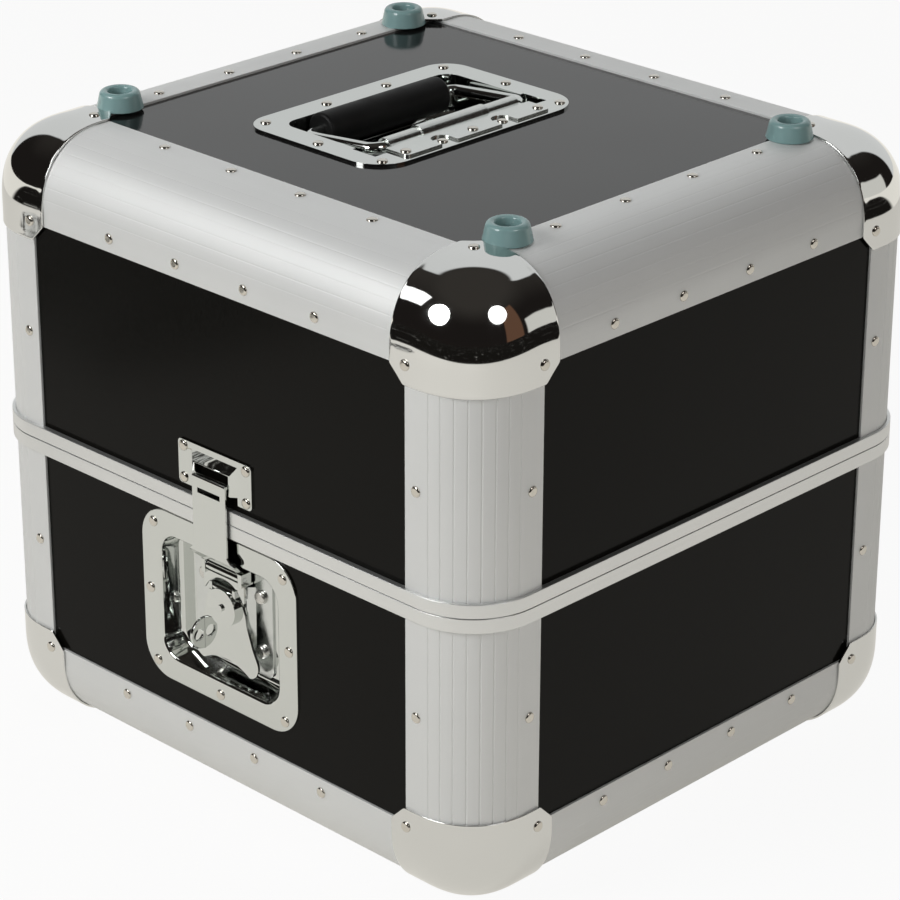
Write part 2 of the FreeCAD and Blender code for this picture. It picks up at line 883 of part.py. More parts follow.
def wing_outline(z):
    """Butterfly outline: neck, shoulders, flaring sides, two round lobes and a shallow notch."""
    def spot(s, t):
        return V(s, t, z)

    tip_s, tip_t = wing_tip
    tip_bottom = tip_t - wing_tip_radius
    wide_s, wide_t = wing_wide
    right = [
        (wing_neck_half, wing_pin_height),
        (wing_neck_half, wing_neck_bottom),
        (wing_shoulder_half, wing_neck_bottom),
        wing_side,
        wing_waist,
        wing_flare,
        wing_wide,
    ]
    edges = []
    for a, b in zip(right[:-1], right[1:]):
        edges.append(Part.makeLine(spot(*a), spot(*b)))
    lean = math.radians(wing_tip_lean_deg)
    middle = spot(tip_s + wing_tip_radius * math.cos(lean), tip_t - wing_tip_radius * math.sin(lean))
    edges.append(Part.Arc(spot(wide_s, wide_t), middle, spot(tip_s, tip_bottom)).toShape())
    edges.append(Part.Arc(spot(tip_s, tip_bottom), spot(0, wing_bottom_middle),
                          spot(-tip_s, tip_bottom)).toShape())
    middle = V(-middle.x, middle.y, z)
    edges.append(Part.Arc(spot(-tip_s, tip_bottom), middle, spot(-wide_s, wide_t)).toShape())
    left = [(-s, t) for s, t in reversed(right)]
    for a, b in zip(left[:-1], left[1:]):
        edges.append(Part.makeLine(spot(*a), spot(*b)))
    edges.append(Part.makeLine(spot(*left[-1]), spot(*right[0])))
    return Part.Face(Part.Wire(edges))


def latch_wing():
    back = -wing_depth - wing_sheet
    plate = wing_outline(back).extrude(V(0, 0, wing_sheet))
    barrel = cylinder(wing_barrel_radius, V(-wing_neck_half, wing_pin_height, -wing_pin_depth),
                      V(wing_neck_half, wing_pin_height, -wing_pin_depth))
    boss = cylinder(boss_radius, V(0, rotor_height, -wing_depth - seat_gap),
                    V(0, rotor_height, -wing_depth + boss_rise))
    button = cylinder(boss_pin_radius, V(0, rotor_height, back),
                      V(0, rotor_height, -wing_depth + boss_rise + boss_pin_rise))
    bore = cylinder(wing_pin_radius + pin_gap,
                    V(-wing_neck_half - overrun, wing_pin_height, -wing_pin_depth),
                    V(wing_neck_half + overrun, wing_pin_height, -wing_pin_depth))
    slot = box(-ring_offset - ring_sheet / 2 - seat_gap, -ring_offset + ring_sheet / 2 + seat_gap,
               ring_height - ring_radius - seat_gap, ring_height + ring_radius + seat_gap,
               back - overrun, -wing_depth + overrun)
    return fused([plate, barrel, boss, button]).cut([bore, slot])


def wing_pin():
    reach = rotor_ear_inner + rotor_ear_thickness
    return cylinder(wing_pin_radius, V(-reach, wing_pin_height, -wing_pin_depth),
                    V(reach, wing_pin_height, -wing_pin_depth))


def padlock_ring():
    """Half ring that stands on the wing, with a tang in the wing's slot."""
    x0 = -ring_offset - ring_sheet / 2
    face = -wing_depth
    disc = cylinder(ring_radius, V(x0, ring_height, face), V(x0 + ring_sheet, ring_height, face))
    front = box(x0 - overrun, x0 + ring_sheet + overrun, ring_height - ring_radius - overrun,
                ring_height + ring_radius + overrun, face, face + ring_radius + overrun)
    hole = cylinder(ring_hole_radius, V(x0 - overrun, ring_height, face + ring_hole_rise),
                    V(x0 + ring_sheet + overrun, ring_height, face + ring_hole_rise))
    tang = box(x0, x0 + ring_sheet, ring_height - ring_radius, ring_height + ring_radius,
               face - wing_sheet, face)
    return fused([disc.common(front).cut(hole), tang])


def latch_carriage():
    """Slide plate under the guide, stepped forward above it, with two ears for the hook's pin."""
    back = -carriage_depth - carriage_sheet
    front = -carriage_depth
    shelf_top = carriage_shelf + carriage_sheet
    reach = hook_barrel_half + slip_gap + carriage_ear_thickness
    plate = box(-carriage_half, carriage_half, carriage_bottom, shelf_top, back, front)
    shelf = box(-reach, reach, carriage_shelf, shelf_top, back, -apron_depth)
    apron = box(-reach, reach, apron_bottom, shelf_top,
                -apron_depth - carriage_sheet, -apron_depth)
    arc = cylinder(apron_arc_radius, V(0, rotor_height, -apron_depth - carriage_sheet - overrun),
                   V(0, rotor_height, -apron_depth + overrun))
    slot_half = crank_offset + crank_pin_radius + slip_gap
    slot_rise = crank_pin_radius + crank_clearance
    pin_t = rotor_height - crank_offset
    slot = rounded_prism(-slot_half, slot_half, pin_t - slot_rise, pin_t + slot_rise,
                         slot_rise - seat_gap, back - overrun, front + overrun)
    ears = []
    bores = []
    for sign in (-1, 1):
        inner = sign * (hook_barrel_half + slip_gap)
        outer = inner + sign * carriage_ear_thickness
        low, high = min(inner, outer), max(inner, outer)
        ears.append(box(low, high, carriage_shelf, carriage_ear_top, front, -carriage_ear_depth))
        bores.append(cylinder(hook_pin_radius + pin_gap,
                              V(low - overrun, hook_pin_height, -hook_pin_depth),
                              V(high + overrun, hook_pin_height, -hook_pin_depth)))
    return fused([plate, shelf, apron.cut(arc)] + ears).cut([slot] + bores)


def hook_pin():
    reach = hook_barrel_half + slip_gap + carriage_ear_thickness
    return cylinder(hook_pin_radius, V(-reach, hook_pin_height, -hook_pin_depth),
                    V(reach, hook_pin_height, -hook_pin_depth))


def latch_hook():
    """Flat tongue over the band, creased into the dish and rolled round its pin."""
    front = hook_back + hook_sheet
    nose = hook_back - hook_nose_reach
    lean_top = V(0, hook_crease, hook_back)
    lean_foot = V(0, hook_pin_height + hook_barrel_radius, -hook_pin_depth)
    slope = (lean_top - lean_foot).normalize()
    normal = V(0, -slope.z, slope.y)
    outer_top = V(0, hook_crease - hook_sheet / 2, front)
    outer_foot = lean_foot + normal * hook_sheet
    side = [
        V(0, hook_top, nose),
        V(0, hook_top, front - hook_nose_reach),
        V(0, hook_top - hook_nose_reach, front),
        outer_top,
        outer_foot,
        V(0, hook_pin_height, -hook_pin_depth + hook_barrel_radius / 2),
        V(0, hook_pin_height, -hook_pin_depth),
        lean_foot,
        lean_top,
        V(0, hook_top - hook_nose_height, hook_back),
        V(0, hook_top - hook_nose_height + hook_nose_reach, nose),
    ]
    width = 2 * hook_shoulder_half
    blank = extruded([p - V(hook_shoulder_half, 0, 0) for p in side], V(width, 0, 0))
    outline = []
    for sign in (1, -1):
        run = [(hook_half, hook_top + overrun), (hook_half, hook_shoulder_top),
               (hook_shoulder_half, hook_shoulder_top - hook_shoulder_rise),
               (hook_shoulder_half, hook_shoulder_bottom),
               (hook_barrel_half, hook_shoulder_bottom - hook_shoulder_rise / 2),
               (hook_barrel_half, hook_pin_height - hook_barrel_radius)]
        run = run if sign > 0 else list(reversed(run))
        outline += [V(sign * s, t, -dish_floor_depth) for s, t in run]
    mask = extruded(outline, V(0, 0, dish_floor_depth + front + overrun))
    slot_top = hook_top - hook_slot_from_top
    slot = box(-hook_slot_half, hook_slot_half, slot_top - hook_slot_height, slot_top,
               nose - overrun, front + overrun)
    barrel = cylinder(hook_barrel_radius, V(-hook_barrel_half, hook_pin_height, -hook_pin_depth),
                      V(hook_barrel_half, hook_pin_height, -hook_pin_depth))
    bore = cylinder(hook_pin_radius + pin_gap,
                    V(-hook_barrel_half - overrun, hook_pin_height, -hook_pin_depth),
                    V(hook_barrel_half + overrun, hook_pin_height, -hook_pin_depth))
    return blank.common(mask).fuse(barrel).removeSplitter().cut([slot, bore])


def hood(margin):
    """Block with leaning sides and a leaning upper end, drawn in by a margin."""
    half = hood_half - margin
    flat = hood_flat_half - margin
    proud = hood_proud - margin
    foot = -panel_face - (overrun if margin else 0)
    low = hood_bottom - (overrun if margin else 0)
    top = hood_top - margin
    shoulder = hood_shoulder - margin
    section = [V(-half, low, foot), V(half, low, foot), V(half, low, -keeper_face),
               V(flat, low, proud), V(-flat, low, proud), V(-half, low, -keeper_face)]
    block = extruded(section, V(0, top - low, 0))
    side = -half - overrun
    above = proud + overrun
    wedge = [V(side, top, -keeper_face), V(side, shoulder, proud), V(side, shoulder, above),
             V(side, top + overrun, above), V(side, top + overrun, -keeper_face)]
    return block.cut(extruded(wedge, V(-2 * side, 0, 0)))


def keeper():
    """Plate on the lid with a pressed hood, open below and slotted for the hook's nose."""
    plate = rounded_prism(-keeper_half, keeper_half, 0, keeper_height, keeper_corner,
                          -panel_face, -keeper_face)
    gate = box(-hood_half, hood_half, -overrun, hood_top, -panel_face - overrun, overrun)
    slot = box(-hood_slot_half, hood_slot_half, hood_slot_bottom, hood_slot_top,
               -panel_face - overrun, hood_proud + overrun)
    shell = hood(0).cut(hood(keeper_sheet))
    return fused([plate.cut(gate), shell]).cut(slot)


# Handle, built in the frame of the top: X is s, Y is t from the handle's middle and Z is o

def pan(margin, top_o):
    floor = -pan_depth - margin
    solid = rounded_prism(pan_far - margin, pan_near + margin, -pan_half - margin,
                          pan_half + margin, pan_corner + margin, floor, top_o)
    rim = [edge for edge in solid.Edges
           if all(abs(vertex.Z - floor) < seat_gap for vertex in edge.Vertexes)
           and abs(edge.CenterOfMass.z - floor) < seat_gap]
    return solid.makeFillet(pan_floor_fillet + margin, rim)


def pan_pockets(margin, top_o):
    """Two square pockets beside the hinge, where the handle's arms turn."""
    pockets = []
    for sign in (-1, 1):
        ends = sorted((sign * (pan_pocket_inner - margin), sign * (pan_pocket_half + margin)))
        pockets.append(box(pan_pocket_far - margin, pan_pocket_near + margin, ends[0], ends[1],
                           -pan_pocket_depth - margin, top_o))
    return pockets


def handle_dish():
    plate = rounded_prism(handle_plate_far, handle_plate_near, -handle_plate_half,
                          handle_plate_half, handle_plate_corner, -panel_face, 0)
    near = rounded_prism(handle_plate_far - handle_plate_near_corner, handle_plate_near,
                         -handle_plate_half, handle_plate_half, handle_plate_near_corner,
                         -panel_face - overrun, overrun)
    plate = plate.common(near)
    outside = [pan(handle_sheet, -panel_face)] + pan_pockets(handle_sheet, -panel_face)
    inside = [pan(0, overrun)] + pan_pockets(0, overrun)
    return fused([plate] + outside).cut(inside).removeSplitter()


def handle_panel_cut():
    room = slip_gap + handle_sheet
    back = -panel_back - pad_thickness - overrun
    opening = rounded_prism(pan_far - room, pan_near + room, -pan_half - room, pan_half + room,
                            pan_corner + room, back, overrun)
    corners = box(pan_pocket_far - room, pan_pocket_near + room, -pan_pocket_half - room,
                  pan_pocket_half + room, back, overrun)
    return opening.fuse(corners)


def handle_cover():
    """Hinge plate with a rolled barrel, fatter in its middle, and two scallops for dish rivets."""
    def barrel(radius, half):
        return cylinder(radius, V(hinge_s, -half, -hinge_depth), V(hinge_s, half, -hinge_depth))

    plate = rounded_prism(hinge_s, cover_near, -cover_half, cover_half, cover_corner,
                          0, cover_sheet)
    tube = barrel(barrel_radius, barrel_half)
    middle = barrel(barrel_middle_radius, barrel_middle_half)
    scallops = []
    for t in (-cover_scallop_spread, cover_scallop_spread):
        scallops.append(cylinder(cover_scallop_radius, V(cover_scallop_line, t, -overrun),
                                 V(cover_scallop_line, t, cover_sheet + overrun)))
        scallops.append(box(cover_scallop_line, cover_near + overrun, t - cover_scallop_radius,
                            t + cover_scallop_radius, -overrun, cover_sheet + overrun))
        outer = (math.copysign(barrel_half, t), math.copysign(cover_half + overrun, t))
        scallops.append(box(hinge_s - overrun, cover_end_step, min(outer), max(outer),
                            -overrun, cover_sheet + overrun))
    bore = barrel(bail_rod_radius + pin_gap, barrel_half + overrun)
    room = barrel(barrel_middle_radius - barrel_middle_wall,
                  barrel_middle_half - barrel_middle_wall)
    return fused([plate, tube, middle]).cut(scallops + [bore, room])


def bail_plane_point(reach, t):
    """Point at a reach from the hinge line in the bail's slightly drooping plane."""
    length = math.hypot(grip_reach, grip_drop)
    return V(hinge_s - reach * grip_reach / length, t, -hinge_depth - reach * grip_drop / length)


def handle_bail():
    """One bent rod: two hinge pins, two arms and the core of the grip."""
    length = math.hypot(grip_reach, grip_drop)
    r = bail_bend_radius
    k = r * (1 - math.sqrt(0.5))
    half = bail_arm_half
    points = [
        (0, -bail_pin_inner), (0, -half + r), (k, -half + k), (r, -half),
        (length - r, -half), (length - k, -half + k), (length, -half + r),
        (length, half - r), (length - k, half - k), (length - r, half),
        (r, half), (k, half - k), (0, half - r), (0, bail_pin_inner),
    ]
    p = [bail_plane_point(reach, t) for reach, t in points]
    edges = [
        Part.makeLine(p[0], p[1]), Part.Arc(p[1], p[2], p[3]).toShape(),
        Part.makeLine(p[3], p[4]), Part.Arc(p[4], p[5], p[6]).toShape(),
        Part.makeLine(p[6], p[7]), Part.Arc(p[7], p[8], p[9]).toShape(),
        Part.makeLine(p[9], p[10]), Part.Arc(p[10], p[11], p[12]).toShape(),
        Part.makeLine(p[12], p[13]),
    ]
    path = Part.Wire(edges)
    ring = Part.Wire(Part.makeCircle(bail_rod_radius, p[0], V(0, 1, 0)))
    return path.makePipeShell([ring], True, False)


def handle_grip():
    centre = bail_plane_point(math.hypot(grip_reach, grip_drop), 0)
    start = centre - V(0, grip_length / 2, 0)
    end = centre + V(0, grip_length / 2, 0)
    roll = cylinder(grip_radius, start, end)
    rims = [edge for edge in roll.Edges if len(edge.Vertexes) == 1]
    roll = roll.makeFillet(grip_round, rims)
    way = V(0, overrun, 0)
    return roll.cut(cylinder(bail_rod_radius + pin_gap, start - way, end + way))


def handle_spring():
    """Torsion spring in the middle of the barrel, one unbroken coil."""
    pitch = 2 * spring_half / spring_turns
    coil = Part.makeHelix(pitch, 2 * spring_half, spring_radius)
    start = coil.Edges[0].valueAt(coil.Edges[0].FirstParameter)
    tangent = coil.Edges[0].tangentAt(coil.Edges[0].FirstParameter)
    ring = Part.Wire(Part.makeCircle(spring_wire_radius, start, tangent))
    wire = Part.Wire(coil.Edges).makePipeShell([ring], True, True)
    steps = spring_check_steps
    turn = [V(spring_radius * math.cos(2 * math.pi * i / steps),
              spring_radius * math.sin(2 * math.pi * i / steps), pitch * i / steps)
            for i in range(2 * steps + 1)]
    least = min(turn[0].distanceToPoint(q) for q in turn[steps // 2:])
    print("handle spring, least gap between turns: %.2f mm" % (least - 2 * spring_wire_radius))
    wire.rotate(V(0, 0, 0), V(1, 0, 0), -90)
    wire.translate(V(hinge_s, -spring_half, -hinge_depth))
    return wire


def lid_feet():
    """Feet with a countersunk hole, each notched where it overlaps the lip of a ball corner."""
    feet = []
    for sx in (-1, 1):
        for sy in (-1, 1):
            spot = V(sx * foot_x, sy * foot_y, 0)
            cone = Part.makeCone(foot_base_radius, foot_top_radius, foot_height, spot, V(0, 0, 1))
            rim = [edge for edge in cone.Edges if len(edge.Vertexes) == 1
                   and edge.CenterOfMass.z > foot_height / 2]
            cone = cone.makeFillet(foot_round, rim)
            up = V(0, 0, foot_height + overrun)
            hole = cylinder(foot_hole_radius, spot + V(0, 0, foot_height - foot_hole_depth),
                            spot + up)
            bore = cylinder(foot_bore_radius, spot - V(0, 0, overrun), spot + up)
            lip = sorted((sy * (half_depth - cap_reach - slip_gap), sy * half_depth))
            notch = box(spot.x - foot_base_radius, spot.x + foot_base_radius, lip[0], lip[1],
                        -overrun, cap_sheet + seat_gap)
            feet.append(placed(cone.cut([hole, bore, notch]), "top"))
    return feet


def foot_screws():
    screws = []
    seat = foot_height - foot_hole_depth
    for sx in (-1, 1):
        for sy in (-1, 1):
            spot = V(sx * foot_x, sy * foot_y, seat)
            head = cylinder(foot_screw_head_radius, spot, spot + V(0, 0, foot_screw_head_height))
            rim = [edge for edge in head.Edges if len(edge.Vertexes) == 1
                   and edge.CenterOfMass.z > seat + seat_gap]
            head = head.makeFillet(foot_screw_head_height / 2, rim)
            shank = cylinder(foot_screw_radius, spot - V(0, 0, foot_screw_length), spot)
            screws.append(placed(fused([head, shank]), "top"))
    return screws


def foot_holes():
    holes = []
    deep = foot_screw_length - foot_height + foot_hole_depth
    for sx in (-1, 1):
        for sy in (-1, 1):
            spot = V(sx * foot_x, sy * foot_y, 0)
            holes.append(placed(cylinder(foot_screw_radius + pin_gap,
                                         spot - V(0, 0, deep + seat_gap),
                                         spot + V(0, 0, overrun)), "top"))
    return holes


# Assembly

def export(name, shape):
    solids = shape if isinstance(shape, list) else [shape]
    whole = solids[0] if len(solids) == 1 else Part.makeCompound(solids)
    whole.exportStep("parts/%s.step" % name)
    count = len(whole.Solids)
    print("%-28s solids %3d  valid %s  volume %.0f" % (name, count, whole.isValid(), whole.Volume))


def build_half(section, lid):
    """Profiles, panels, corners, closing profile, pad and rivets of the lid or the base."""
    prefix = "lid" if lid else "base"
    flat = "top" if lid else "bottom"
    walls = flange_rivets(lid) + cap_wall_rivets(lid)
    flats = cap_flat_rivets(lid)
    domed = walls + (flats if lid else [])
    for side in ("front", "back"):
        domed += keeper_rivets(side) if lid else dish_rivets(side)
    if lid:
        domed += handle_rivets() + cover_rivets()
    holes = rivet_holes(domed)
    heads = rivets(domed)
    if lid:
        holes += foot_holes()
    else:
        holes += [flush_rivet_hole(*place) for place in flats]
        heads += [flush_rivet_at(*place) for place in flats]

    for side in SIDES:
        edge_name = "%s_%s_%s_edge" % (prefix, side, flat)
        export(edge_name, drilled(rim_edge(section, side, lid), holes))
    export(prefix + "_corner_posts", [drilled(post, holes) for post in corner_posts(section, lid)])
    export(prefix + "_ball_corners", ball_corners(lid, holes))
    export(prefix + "_closing_profile", lid_closing_profile() if lid else base_closing_profile())

    for side in SIDES:
        panel = wall_panel(side, lid)
        if not lid and side in ("front", "back"):
            panel = panel.cut(placed(latch_panel_cut(), side, dish_bottom))
        export("%s_%s_panel" % (prefix, side), drilled(panel, holes))
    panel = flat_panel(flat)
    pad = flat_pad(flat)
    if lid:
        opening = placed(handle_panel_cut(), "top", handle_middle)
        panel = panel.cut(opening)
        pad = pad.cut(opening)
    export("%s_%s_panel" % (prefix, flat), drilled(panel, holes))
    export("%s_%s_pad" % (prefix, flat), pad)
    export(prefix + "_rivets", heads)
    return holes


def build_latch(side, base_holes, lid_holes):
    """One latch: its pieces in the base's dish, and its keeper on the lid."""
    pieces = {
        "latch_guide": latch_guide(),
        "latch_rotor": latch_rotor(),
        "latch_wing": latch_wing(),
        "latch_wing_pin": wing_pin(),
        "latch_padlock_ring": padlock_ring(),
        "latch_carriage": latch_carriage(),
        "latch_hook_pin": hook_pin(),
        "latch_hook": latch_hook(),
    }
    dish = placed(latch_dish().cut(screw_holes()), side, dish_bottom)
    export("latch_dish_" + side, drilled(dish, base_holes))
    for name, shape in pieces.items():
        export("%s_%s" % (name, side), placed(shape, side, dish_bottom))
    screws = [placed(screw, side, dish_bottom) for screw in latch_screws()]
    export("latch_screws_" + side, screws)
    export("latch_keeper_" + side, drilled(placed(keeper(), side, keeper_bottom), lid_holes))


def build_handle(lid_holes):
    """The recessed handle and the feet of the lid."""
    dish = placed(handle_dish(), "top", handle_middle)
    export("handle_dish", drilled(dish, lid_holes))
    cover = placed(handle_cover(), "top", handle_middle)
    export("handle_cover", drilled(cover, lid_holes))
    export("handle_bail", placed(handle_bail(), "top", handle_middle))
    export("handle_grip", placed(handle_grip(), "top", handle_middle))
    export("handle_spring", placed(handle_spring(), "top", handle_middle))
    export("lid_feet", lid_feet())
    export("lid_foot_screws", foot_screws())


def main():
    os.makedirs("parts", exist_ok=True)
    section = edge_section()
    base_holes = build_half(section, False)
    lid_holes = build_half(section, True)
    for side in ("front", "back"):
        build_latch(side, base_holes, lid_holes)
    build_handle(lid_holes)


main()
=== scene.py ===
# %% [markdown]
# # A record carrying case
# The case is a box of black laminated panels held in rounded aluminium profiles, with chromed ball
# corners, a recessed butterfly latch on the front and the back, and a sprung handle let into the
# lid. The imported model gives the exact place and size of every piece. This lesson dresses it: some
# solids keep their shape and get softer edges, others are rebuilt as finer surfaces, and every
# piece gets a finish made of shader nodes.

# %% Tools and the frame
import json
import math

import bmesh
import bpy
import numpy as np
from mathutils import Matrix, Vector


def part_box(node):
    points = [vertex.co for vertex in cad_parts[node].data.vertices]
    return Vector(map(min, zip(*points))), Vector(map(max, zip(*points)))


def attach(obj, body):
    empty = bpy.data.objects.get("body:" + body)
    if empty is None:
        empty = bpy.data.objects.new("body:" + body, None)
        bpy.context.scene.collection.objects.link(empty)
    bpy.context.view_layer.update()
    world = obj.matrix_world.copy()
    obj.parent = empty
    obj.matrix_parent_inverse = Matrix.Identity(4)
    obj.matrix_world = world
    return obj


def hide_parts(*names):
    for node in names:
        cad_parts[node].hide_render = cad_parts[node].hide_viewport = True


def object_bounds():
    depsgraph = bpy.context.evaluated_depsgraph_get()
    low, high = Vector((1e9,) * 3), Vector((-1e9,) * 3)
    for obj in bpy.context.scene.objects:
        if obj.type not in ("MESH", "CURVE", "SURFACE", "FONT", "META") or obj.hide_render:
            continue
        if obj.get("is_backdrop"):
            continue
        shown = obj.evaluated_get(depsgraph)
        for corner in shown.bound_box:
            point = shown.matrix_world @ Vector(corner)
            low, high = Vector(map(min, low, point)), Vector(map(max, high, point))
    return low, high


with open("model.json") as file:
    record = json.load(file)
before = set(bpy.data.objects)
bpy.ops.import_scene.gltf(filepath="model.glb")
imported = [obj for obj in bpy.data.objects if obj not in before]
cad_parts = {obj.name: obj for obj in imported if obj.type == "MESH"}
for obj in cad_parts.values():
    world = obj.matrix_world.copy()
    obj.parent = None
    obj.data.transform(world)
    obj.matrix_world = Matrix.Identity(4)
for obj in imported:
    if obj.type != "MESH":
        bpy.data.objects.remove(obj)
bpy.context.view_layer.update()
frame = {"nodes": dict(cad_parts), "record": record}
MM = 0.001

# %% [markdown]
# ## Shader maths as expressions
# A finish is a small sum: a noise here, a mask there, one minus something. Wiring that by hand
# hides the idea, so a class wraps one output socket and lets plain arithmetic add the Math nodes.
# Any other node comes from one method, which takes the node's settings and its inputs.

# %% A socket that can be added and multiplied
class Wire:
    """An output socket of a node tree. Arithmetic on it adds Math nodes and gives a new wire."""

    def __init__(self, board, socket):
        self.board = board
        self.socket = socket

    def math(self, operation, other, flipped=False):
        a, b = (other, self) if flipped else (self, other)
        made = self.board.add("ShaderNodeMath", {"operation": operation}, {0: a, 1: b})
        return self.board.out(made, 0)

    def __add__(self, other):
        return self.math("ADD", other)

    def __radd__(self, other):
        return self.math("ADD", other, True)

    def __sub__(self, other):
        return self.math("SUBTRACT", other)

    def __rsub__(self, other):
        return self.math("SUBTRACT", other, True)

    def __mul__(self, other):
        return self.math("MULTIPLY", other)

    def __rmul__(self, other):
        return self.math("MULTIPLY", other, True)


class Board:
    """A node tree that starts empty and is filled by short calls."""

    def __init__(self, tree):
        self.tree = tree
        tree.nodes.clear()

    def add(self, kind, settings, inputs):
        """New node of a kind, with its settings first and then values or wires for its inputs."""
        node = self.tree.nodes.new(kind)
        for name, value in settings.items():
            setattr(node, name, value)
        for name, value in inputs.items():
            if isinstance(value, Wire):
                self.tree.links.new(value.socket, node.inputs[name])
            else:
                node.inputs[name].default_value = value
        return node

    def out(self, node, name):
        return Wire(self, node.outputs[name])

    def place(self, stretch=(1, 1, 1)):
        """The point in the case's frame, in metres, stretched along each axis."""
        coordinates = self.add("ShaderNodeTexCoord", {}, {})
        mapping = self.add("ShaderNodeMapping", {}, {
            "Vector": self.out(coordinates, "Object"), "Scale": stretch})
        return self.out(mapping, 0)

    def noise(self, vector, scale, detail=2.0, rough=0.5):
        node = self.add("ShaderNodeTexNoise", {}, {
            "Vector": vector, "Scale": scale, "Detail": detail, "Roughness": rough})
        return self.out(node, 0)

    def fade(self, value, low, high, to_low=0.0, to_high=1.0):
        """A smooth step of a value from one range to another."""
        node = self.add("ShaderNodeMapRange", {"interpolation_type": "SMOOTHSTEP"}, {
            "Value": value, "From Min": low, "From Max": high,
            "To Min": to_low, "To Max": to_high})
        return self.out(node, 0)

    def band(self, value, low, high, soft):
        """One between two limits and nought outside them, with soft edges."""
        rise = self.fade(value, low - soft, low + soft)
        return rise * self.fade(value, high - soft, high + soft, 1, 0)

    def blend(self, mask, first, second):
        """Colour that goes from the first to the second as the mask goes from 0 to 1."""
        node = self.add("ShaderNodeMix", {"data_type": "RGBA"}, {0: mask, 6: first, 7: second})
        return self.out(node, 2)

    def bump(self, height, depth):
        node = self.add("ShaderNodeBump", {}, {"Height": height, "Distance": depth})
        return self.out(node, 0)


# %% A finish is a principled shader with a few inputs
def finish(name, build):
    """Material whose builder returns the inputs of its principled shader."""
    material = bpy.data.materials.new(name)
    material.use_nodes = True
    board = Board(material.node_tree)
    shader = board.add("ShaderNodeBsdfPrincipled", {}, build(board))
    board.add("ShaderNodeOutputMaterial", {}, {"Surface": board.out(shader, 0)})
    return material


print("the shader tools are ready")

# %% [markdown]
# ## The camera
# The view is long and slightly from above, and looks at the corner between the front and the
# right side. A long lens keeps the case's edges nearly parallel.

# %% Point a long lens at the corner, in degrees, metres and, for the lens, millimetres
VIEW_AZIMUTH = 44.26
VIEW_ELEVATION = 24.23
VIEW_DISTANCE = 1.953
VIEW_AIM = Vector((0, 0, 0.1627))
VIEW_LENS = 135.6
VIEW_ROLL = 0.17
SENSOR_WIDTH = 36
VIEW_END = 50


def from_azimuth(azimuth, elevation, distance):
    """Offset at an azimuth counted from the front towards the right side, and an elevation."""
    turn = math.radians(azimuth)
    climb = math.radians(elevation)
    level = math.cos(climb)
    way = Vector((math.sin(turn) * level, -math.cos(turn) * level, math.sin(climb)))
    return way * distance


camera_data = bpy.data.cameras.new("camera")
camera_data.lens = VIEW_LENS
camera_data.sensor_width = SENSOR_WIDTH
camera_data.clip_end = VIEW_END
camera = bpy.data.objects.new("camera", camera_data)
bpy.context.collection.objects.link(camera)
camera.location = VIEW_AIM + from_azimuth(VIEW_AZIMUTH, VIEW_ELEVATION, VIEW_DISTANCE)
aim_turn = (VIEW_AIM - camera.location).to_track_quat("-Z", "Y").to_matrix()
camera.rotation_euler = (aim_turn @ Matrix.Rotation(math.radians(VIEW_ROLL), 3, "Z")).to_euler()
bpy.context.scene.camera = camera
print("the camera stands at", [round(v, 3) for v in camera.location])

# %% [markdown]
# ## The studio
# Chrome shows nothing but the room, so the room matters more than the metal. Behind the case hangs
# a pale paper backdrop. The rest is a dark hall with a brown door and a pale card on the right, and
# clutter along the horizon. Each of them could be a lit board, but a patch between two azimuths
# and two elevations of the world shader needs no mesh and casts no shadow. To the camera itself,
# the backdrop is white.

# %% The room as a world shader
WHITE = (1, 1, 1, 1)
ROOM_DARK = (0.013, 0.011, 0.010, 1)
ROOM_CEILING = (0.040, 0.036, 0.032, 1)
CEILING_RISE = (25, 60)
CLUTTER_COLOUR = (0.30, 0.29, 0.28, 1)
CLUTTER_BAND = (-15, 0, 2)
ROOM_PATCHES = (
    # azimuths in degrees, elevations in degrees, soft edge in degrees, colour
    ((95, 119), (-12, 41), 1.0, (0.13, 0.068, 0.042, 1)),
    ((124, 148), (-10, 15), 1.0, (0.70, 0.69, 0.65, 1)),
    ((169, 266), (-25, 50), 1.5, (0.72, 0.73, 0.73, 1)),
)

world = bpy.data.worlds.new("room")
bpy.context.scene.world = world
world.use_nodes = True
room = Board(world.node_tree)
direction = room.out(room.add("ShaderNodeTexCoord", {}, {}), "Generated")
parts = room.add("ShaderNodeSeparateXYZ", {}, {0: direction})
azimuth = room.out(parts, "X").math("ARCTAN2", room.out(parts, "Y") * -1) * math.degrees(1)
elevation = room.out(parts, "Z").math("ARCSINE", 0) * math.degrees(1)

seen = room.blend(room.fade(elevation, *CEILING_RISE), ROOM_DARK, ROOM_CEILING)
specks = room.fade(room.noise(direction, scale=26.0, detail=4.0, rough=0.7), 0.62, 0.70)
clutter = specks * room.band(elevation, *CLUTTER_BAND)
seen = room.blend(clutter, seen, CLUTTER_COLOUR)
for (left, right), (bottom, top), soft, colour in ROOM_PATCHES:
    # the azimuth wraps at half a turn, so a patch that crosses it is asked for twice
    side_mask = room.band(azimuth, left, right, soft)
    if right > 180:
        side_mask = side_mask + room.band(azimuth, left - 360, right - 360, soft)
    seen = room.blend(side_mask * room.band(elevation, bottom, top, soft), seen, colour)
paths = room.add("ShaderNodeLightPath", {}, {})
seen = room.blend(room.out(paths, "Is Camera Ray"), seen, WHITE)
sky = room.add("ShaderNodeBackground", {}, {"Color": seen, "Strength": 1.0})
room.add("ShaderNodeOutputWorld", {}, {"Surface": room.out(sky, 0)})
print("the room has", len(ROOM_PATCHES), "patches")

# %% [markdown]
# ## The floor
# The case stands on pale warm paper that ends at the table's edge, and past it lies a dark floor
# with litter. To the left, a heap of crumpled cloth lies where the flap of the left ball corner
# mirrors it. Real boards and cloth would fall into the picture. One large plane whose shader asks
# which ray has come gives the camera a nearly white floor that keeps the shadow, and gives mirrors
# the table.

